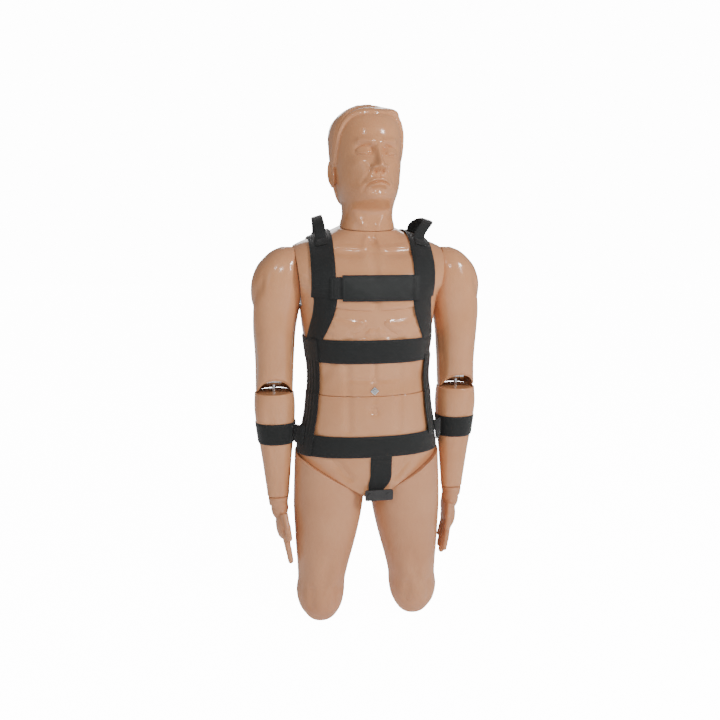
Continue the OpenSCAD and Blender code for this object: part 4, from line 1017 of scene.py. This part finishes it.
# ---- the body
place(torso_shell(), "torso", SKIN_GLOSS, "skin_gloss", "torso_shell")
place(pelvis_shell(), "torso", SKIN_GLOSS, "skin_gloss", "pelvis_shell")
place(head(), "head", SKIN_GLOSS, "skin_gloss", "head_shell")
stitch_runs = []
for s, side in ((1, "L"), (-1, "R")):
    place(ear(s, side), "head", SKIN_GLOSS, "skin_gloss")
    place(upper_arm(s, side), "upper_arm_" + side, SKIN_GLOSS, "skin_gloss", "upper_arm_" + side)
    place(forearm(s, side), "forearm_" + side, SKIN_GLOSS, "skin_gloss", "forearm_" + side)
    place(hand(s, side), "hand_" + side, SKIN_SATIN, "skin_satin", "hand_" + side)
    place(thigh(s, side), "thigh_" + side, SKIN_SATIN, "skin_satin", "thigh_" + side)

# ---- the harness
for s, side in ((1, "L"), (-1, "R")):
    strap, C = shoulder_strap(s, side)
    place(strap, "torso", WEBBING, "webbing", "shoulder_strap_" + side)
    stitch_runs += edge_runs(C) + cross_runs(C, (6, 9))
    loop, C = lift_loop(s, side)
    place(loop, "torso", WEBBING, "webbing", "lift_loop_" + side)
    stitch_runs += cross_runs(C, (3, 8, 75, 79)) + edge_runs(C[:11]) + edge_runs(C[-10:])
    C = mirror(patch(MID_Z + 6, CHEST_Z - 12, (-37, -9), (-63, -39), tucked(60, 10), 60, bend=1.9), s)
    place(ribbon("under_arm_webbing_" + side, C, relief=wave(60, 15, 0.3, 21 + s)), "torso", WEBBING,
          "webbing", "under_arm_strap_" + side)
    stitch_runs += edge_runs(C[8:-8])
    layer = tucked(110, 9, 1.0, -0.42)
    C = mirror(patch(BELT_Z - 4, MID_Z + 6, (-37.7, -10.3), (-37.7, -10.3), layer, 110, 33), s)
    ribs = 0.45 * np.cos(np.linspace(0, 5 * 2 * np.pi, 33))[None, :] + 0 * C[..., 0]
    place(ribbon("side_webbing_" + side, C, relief=ribs), "torso", WEBBING, "webbing", "side_strap_" + side)
    stitch_runs += edge_runs(C[8:-8], (0.93,))
    band, tab, C, T = cuff(s, side)
    place(band, "forearm_" + side, WEBBING, "webbing", "cuff_" + side)
    place(tab, "forearm_" + side, WEBBING, "webbing")
    cuff_sewing = sewing("cuff_stitching_" + side, edge_runs(C, (0.88,), True, about=s * CUFF_X)
                         + edge_runs(T, (0.88,), about=s * CUFF_X))
    place(cuff_sewing, "forearm_" + side, THREAD, "webbing")
    tie, C = cuff_tie(s, side)
    place(tie, "torso", WEBBING, "webbing", "cuff_tie_" + side)

ends = np.linspace(-104, 104, 90)
C = front_rows(-104, 104, CHEST_Z - 25, CHEST_Z + 25, 0.95 * fade((np.abs(ends) - 84) / 9)[:, None], 90)
place(ribbon("chest_webbing", C, relief=wave(90, 15, 0.3, 31)), "torso", WEBBING, "webbing", "chest_strap")
stitch_runs += edge_runs(C[:45]) + cross_runs(C, (2, 8))
C = front_rows(-77, 103, CHEST_Z - 29.5, CHEST_Z + 29.5,
               1.0 + 0.95 * fade((np.linspace(-77, 103, 80) - 84) / 9)[:, None], 80)
place(ribbon("chest_panel_cloth", C, relief=wave(80, 15, 0.5, 32)), "torso", PANEL, "webbing", "chest_panel")
stitch_runs += edge_runs(C, (0.9,)) + cross_runs(C, (2, 76))
for name, z, half, node, seed in (("mid_webbing", MID_Z, 28, "mid_strap", 41),
                                  ("waist_webbing", BELT_Z, 27, "waist_strap", 42)):
    C = belt_rows(z - half, z + half, -180, 180 - 1.2, 0, 300)
    belt = ribbon(name, C, loop=True, relief=wave(300, 15, 0.35, seed))
    place(belt, "torso", WEBBING, "webbing", node)
    stitch_runs += edge_runs(C, loop=True)
    C = belt_rows(z - half, z + half, -169, -142.5, 1, 46)
    place(ribbon(name + "_tab", C), "torso", WEBBING, "webbing", node + "_tab")
    stitch_runs += edge_runs(C) + cross_runs(C, (2, 6, 40, 43))
for name, back in (("crotch_webbing_front", False), ("crotch_webbing_rear", True)):
    C = crotch_strap(back)
    node = "crotch_strap_rear" if back else "crotch_strap_front"
    place(ribbon(name, C), "torso", WEBBING, "webbing", node)
    stitch_runs += edge_runs(C[:60])
place(sewing("harness_stitching", stitch_runs), "torso", THREAD, "webbing")

# ---- waist washers and elbow nuts
def button(at, normal, turn, profile, roundness, count=48):
    """Rings about an axis: each row of the profile is [radius, height], and each ring is a
    superellipse turned by turn, so a washer is square and a screw head round."""
    n = np.array(normal, float) / np.linalg.norm(normal)
    x = np.cross([0.0, 0.0, 1.0], n)
    x /= np.linalg.norm(x)
    y = np.cross(n, x)
    a = angles(count)
    u, v = power(np.cos(a), 2 / roundness), power(np.sin(a), 2 / roundness)
    c, sn = math.cos(turn), math.sin(turn)
    ring = (c * u - sn * v)[:, None] * x + (sn * u + c * v)[:, None] * y
    return np.stack([np.array(at) + r * ring + h * n for r, h in profile])


WASHER = [(2.2, -0.6), (7.2, -0.6), (7.5, -0.3), (7.5, 0.5), (7.1, 0.9), (4.9, 1.0), (4.8, 0.9)]
HEAD_OF_SCREW = [(4.4, 0.4), (4.6, 1.2), (4.3, 2.2), (3.5, 3.0), (2.3, 3.4), (2.1, 3.3),
                 (1.9, 2.2), (0.3, 2.1)]
SCREW_Z = WAIST_Z + 13.0
washers, screws = [], []
for k, degrees in enumerate((-90, -25, -155, 90, 25, 155)):
    a = math.radians(degrees)
    before, at, after = (trunk_point(SCREW_Z, a + k, 0.8, False) for k in (-0.01, 0, 0.01))
    ahead = after - before
    out = np.cross(ahead, [0, 0, 1])
    washers.append(grid_object(f"washer_{k}", button(at, out, math.pi / 4, WASHER, 7.0)))
    screws.append(grid_object(f"screw_{k}", button(at, out, 0.3, HEAD_OF_SCREW, 2.0)))
for name, made, *nodes in (("waist_washer_plates", washers, "waist_washers"),
                           ("waist_screw_heads", screws)):
    piece = joined(made)
    piece.name = piece.data.name = name
    place(piece, "torso", CHROME, "zinc_steel", *nodes)
NUT_X = 13.2
NUT = [(8.5, 0), (9.5, 0.6), (9.5, 5.0), (8.6, 5.8), (7.4, 6.2), (6.9, 8.0), (5.4, 10.0),
       (3.0, 11.2), (0.4, 11.6)]
for s, side in ((1, "L"), (-1, "R")):
    nuts = []
    for k in (-1, 1):
        rings = button((s * ELBOW_X + k * NUT_X, 0, ELBOW_Z), (k, 0, 0.001), 0.2, NUT, 2.6)
        nuts.append(grid_object(f"nut_{side}_{k}", rings))
    piece = joined(nuts)
    piece.name = piece.data.name = "elbow_cap_nuts_" + side
    place(piece, "upper_arm_" + side, CHROME, "chrome_steel")

# ---- the hardware that the frame brings
SHINY = ("elbow_clevis", "elbow_eye", "elbow_pin")
DARK = ("crotch_buckle", "buckle_rivets", "neck_plate", "waist_collar", "shoulder_plate",
        "arm_plate", "thigh_plate")
for name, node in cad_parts.items():
    if node.hide_render:
        continue
    finish = ZINC
    if name.startswith(SHINY):
        finish = CHROME
    elif name.startswith(DARK):
        finish = BLACK
    elif name.startswith("forearm_plug"):
        finish = SKIN_GLOSS
    for k in range(max(1, len(node.material_slots))):
        if node.material_slots:
            node.material_slots[k].material = finish
        else:
            node.data.materials.append(finish)

# ---- floor, light and camera
GLOW_ON_PIECES, GLOW_SEEN = 0.30, 14
bpy.ops.mesh.primitive_plane_add(size=30, location=(0, 0, -0.0005))
floor = bpy.context.object
floor.name = "floor"
floor_mat, tree, shader, add = nodes_of("pale_floor")
shader.inputs["Base Color"].default_value = (0.94, 0.94, 0.94, 1)
shader.inputs["Roughness"].default_value = 0.9
shader.inputs["Specular IOR Level"].default_value = 0.1
shader.inputs["Emission Color"].default_value = (1, 1, 1, 1)
floor_glow = add("MapRange", [("Value", add("LightPath").outputs["Is Camera Ray"])],
                 To_Min=GLOW_ON_PIECES, To_Max=GLOW_SEEN)
tree.links.new(floor_glow.outputs[0], shader.inputs["Emission Strength"])
floor.data.materials.append(floor_mat)

world = bpy.data.worlds.new("studio")
bpy.context.scene.world = world
world.use_nodes = True
backdrop = world.node_tree.nodes["Background"]
backdrop.inputs[0].default_value = (1, 1, 1, 1)
seen = world.node_tree.nodes.new("ShaderNodeLightPath")
bright = world.node_tree.nodes.new("ShaderNodeMapRange")
bright.inputs["To Min"].default_value = GLOW_ON_PIECES
bright.inputs["To Max"].default_value = GLOW_SEEN
world.node_tree.links.new(seen.outputs["Is Camera Ray"], bright.inputs["Value"])
world.node_tree.links.new(bright.outputs[0], backdrop.inputs[1])


def lamp(name, at, size, power, aim=(0, 0, 0.8)):
    """Rectangular soft light at a place, turned to the aim."""
    data = bpy.data.lights.new(name, "AREA")
    data.shape, data.size, data.size_y, data.energy = "RECTANGLE", size[0], size[1], power
    obj = bpy.data.objects.new(name, data)
    bpy.context.scene.collection.objects.link(obj)
    obj.location = at
    way = np.array(aim) - np.array(at)
    obj.rotation_euler = Vector(way).to_track_quat("-Z", "Y").to_euler()
    return obj


lamp("key", (1.8, -2.3, 2.2), (0.5, 0.5), 64)
lamp("fill", (-2.4, -2.2, 1.3), (1.0, 1.0), 3)
lamp("flash", (-0.2, -1.75, 1.35), (0.10, 0.10), 6)
lamp("strip_left", (-1.0, -1.8, 1.9), (0.05, 0.4), 5)
lamp("strip_right", (1.1, -1.7, 1.3), (0.05, 0.5), 6)
lamp("back", (0.4, 2.4, 2.2), (1.6, 1.2), 20)

camera = bpy.data.objects.new("camera", bpy.data.cameras.new("camera"))
bpy.context.scene.collection.objects.link(camera)
AZIMUTH, DISTANCE, HEIGHT, DOWN = math.radians(-9.5), 1.65, 0.957, math.radians(8.3)
camera.location = (-0.017 + math.sin(AZIMUTH) * DISTANCE, -math.cos(AZIMUTH) * DISTANCE, HEIGHT)
camera.rotation_euler = (math.pi / 2 - DOWN, 0, AZIMUTH)
camera.data.sensor_width = 36
camera.data.lens = 33.75
camera.data.shift_y = -0.025
bpy.context.scene.camera = camera
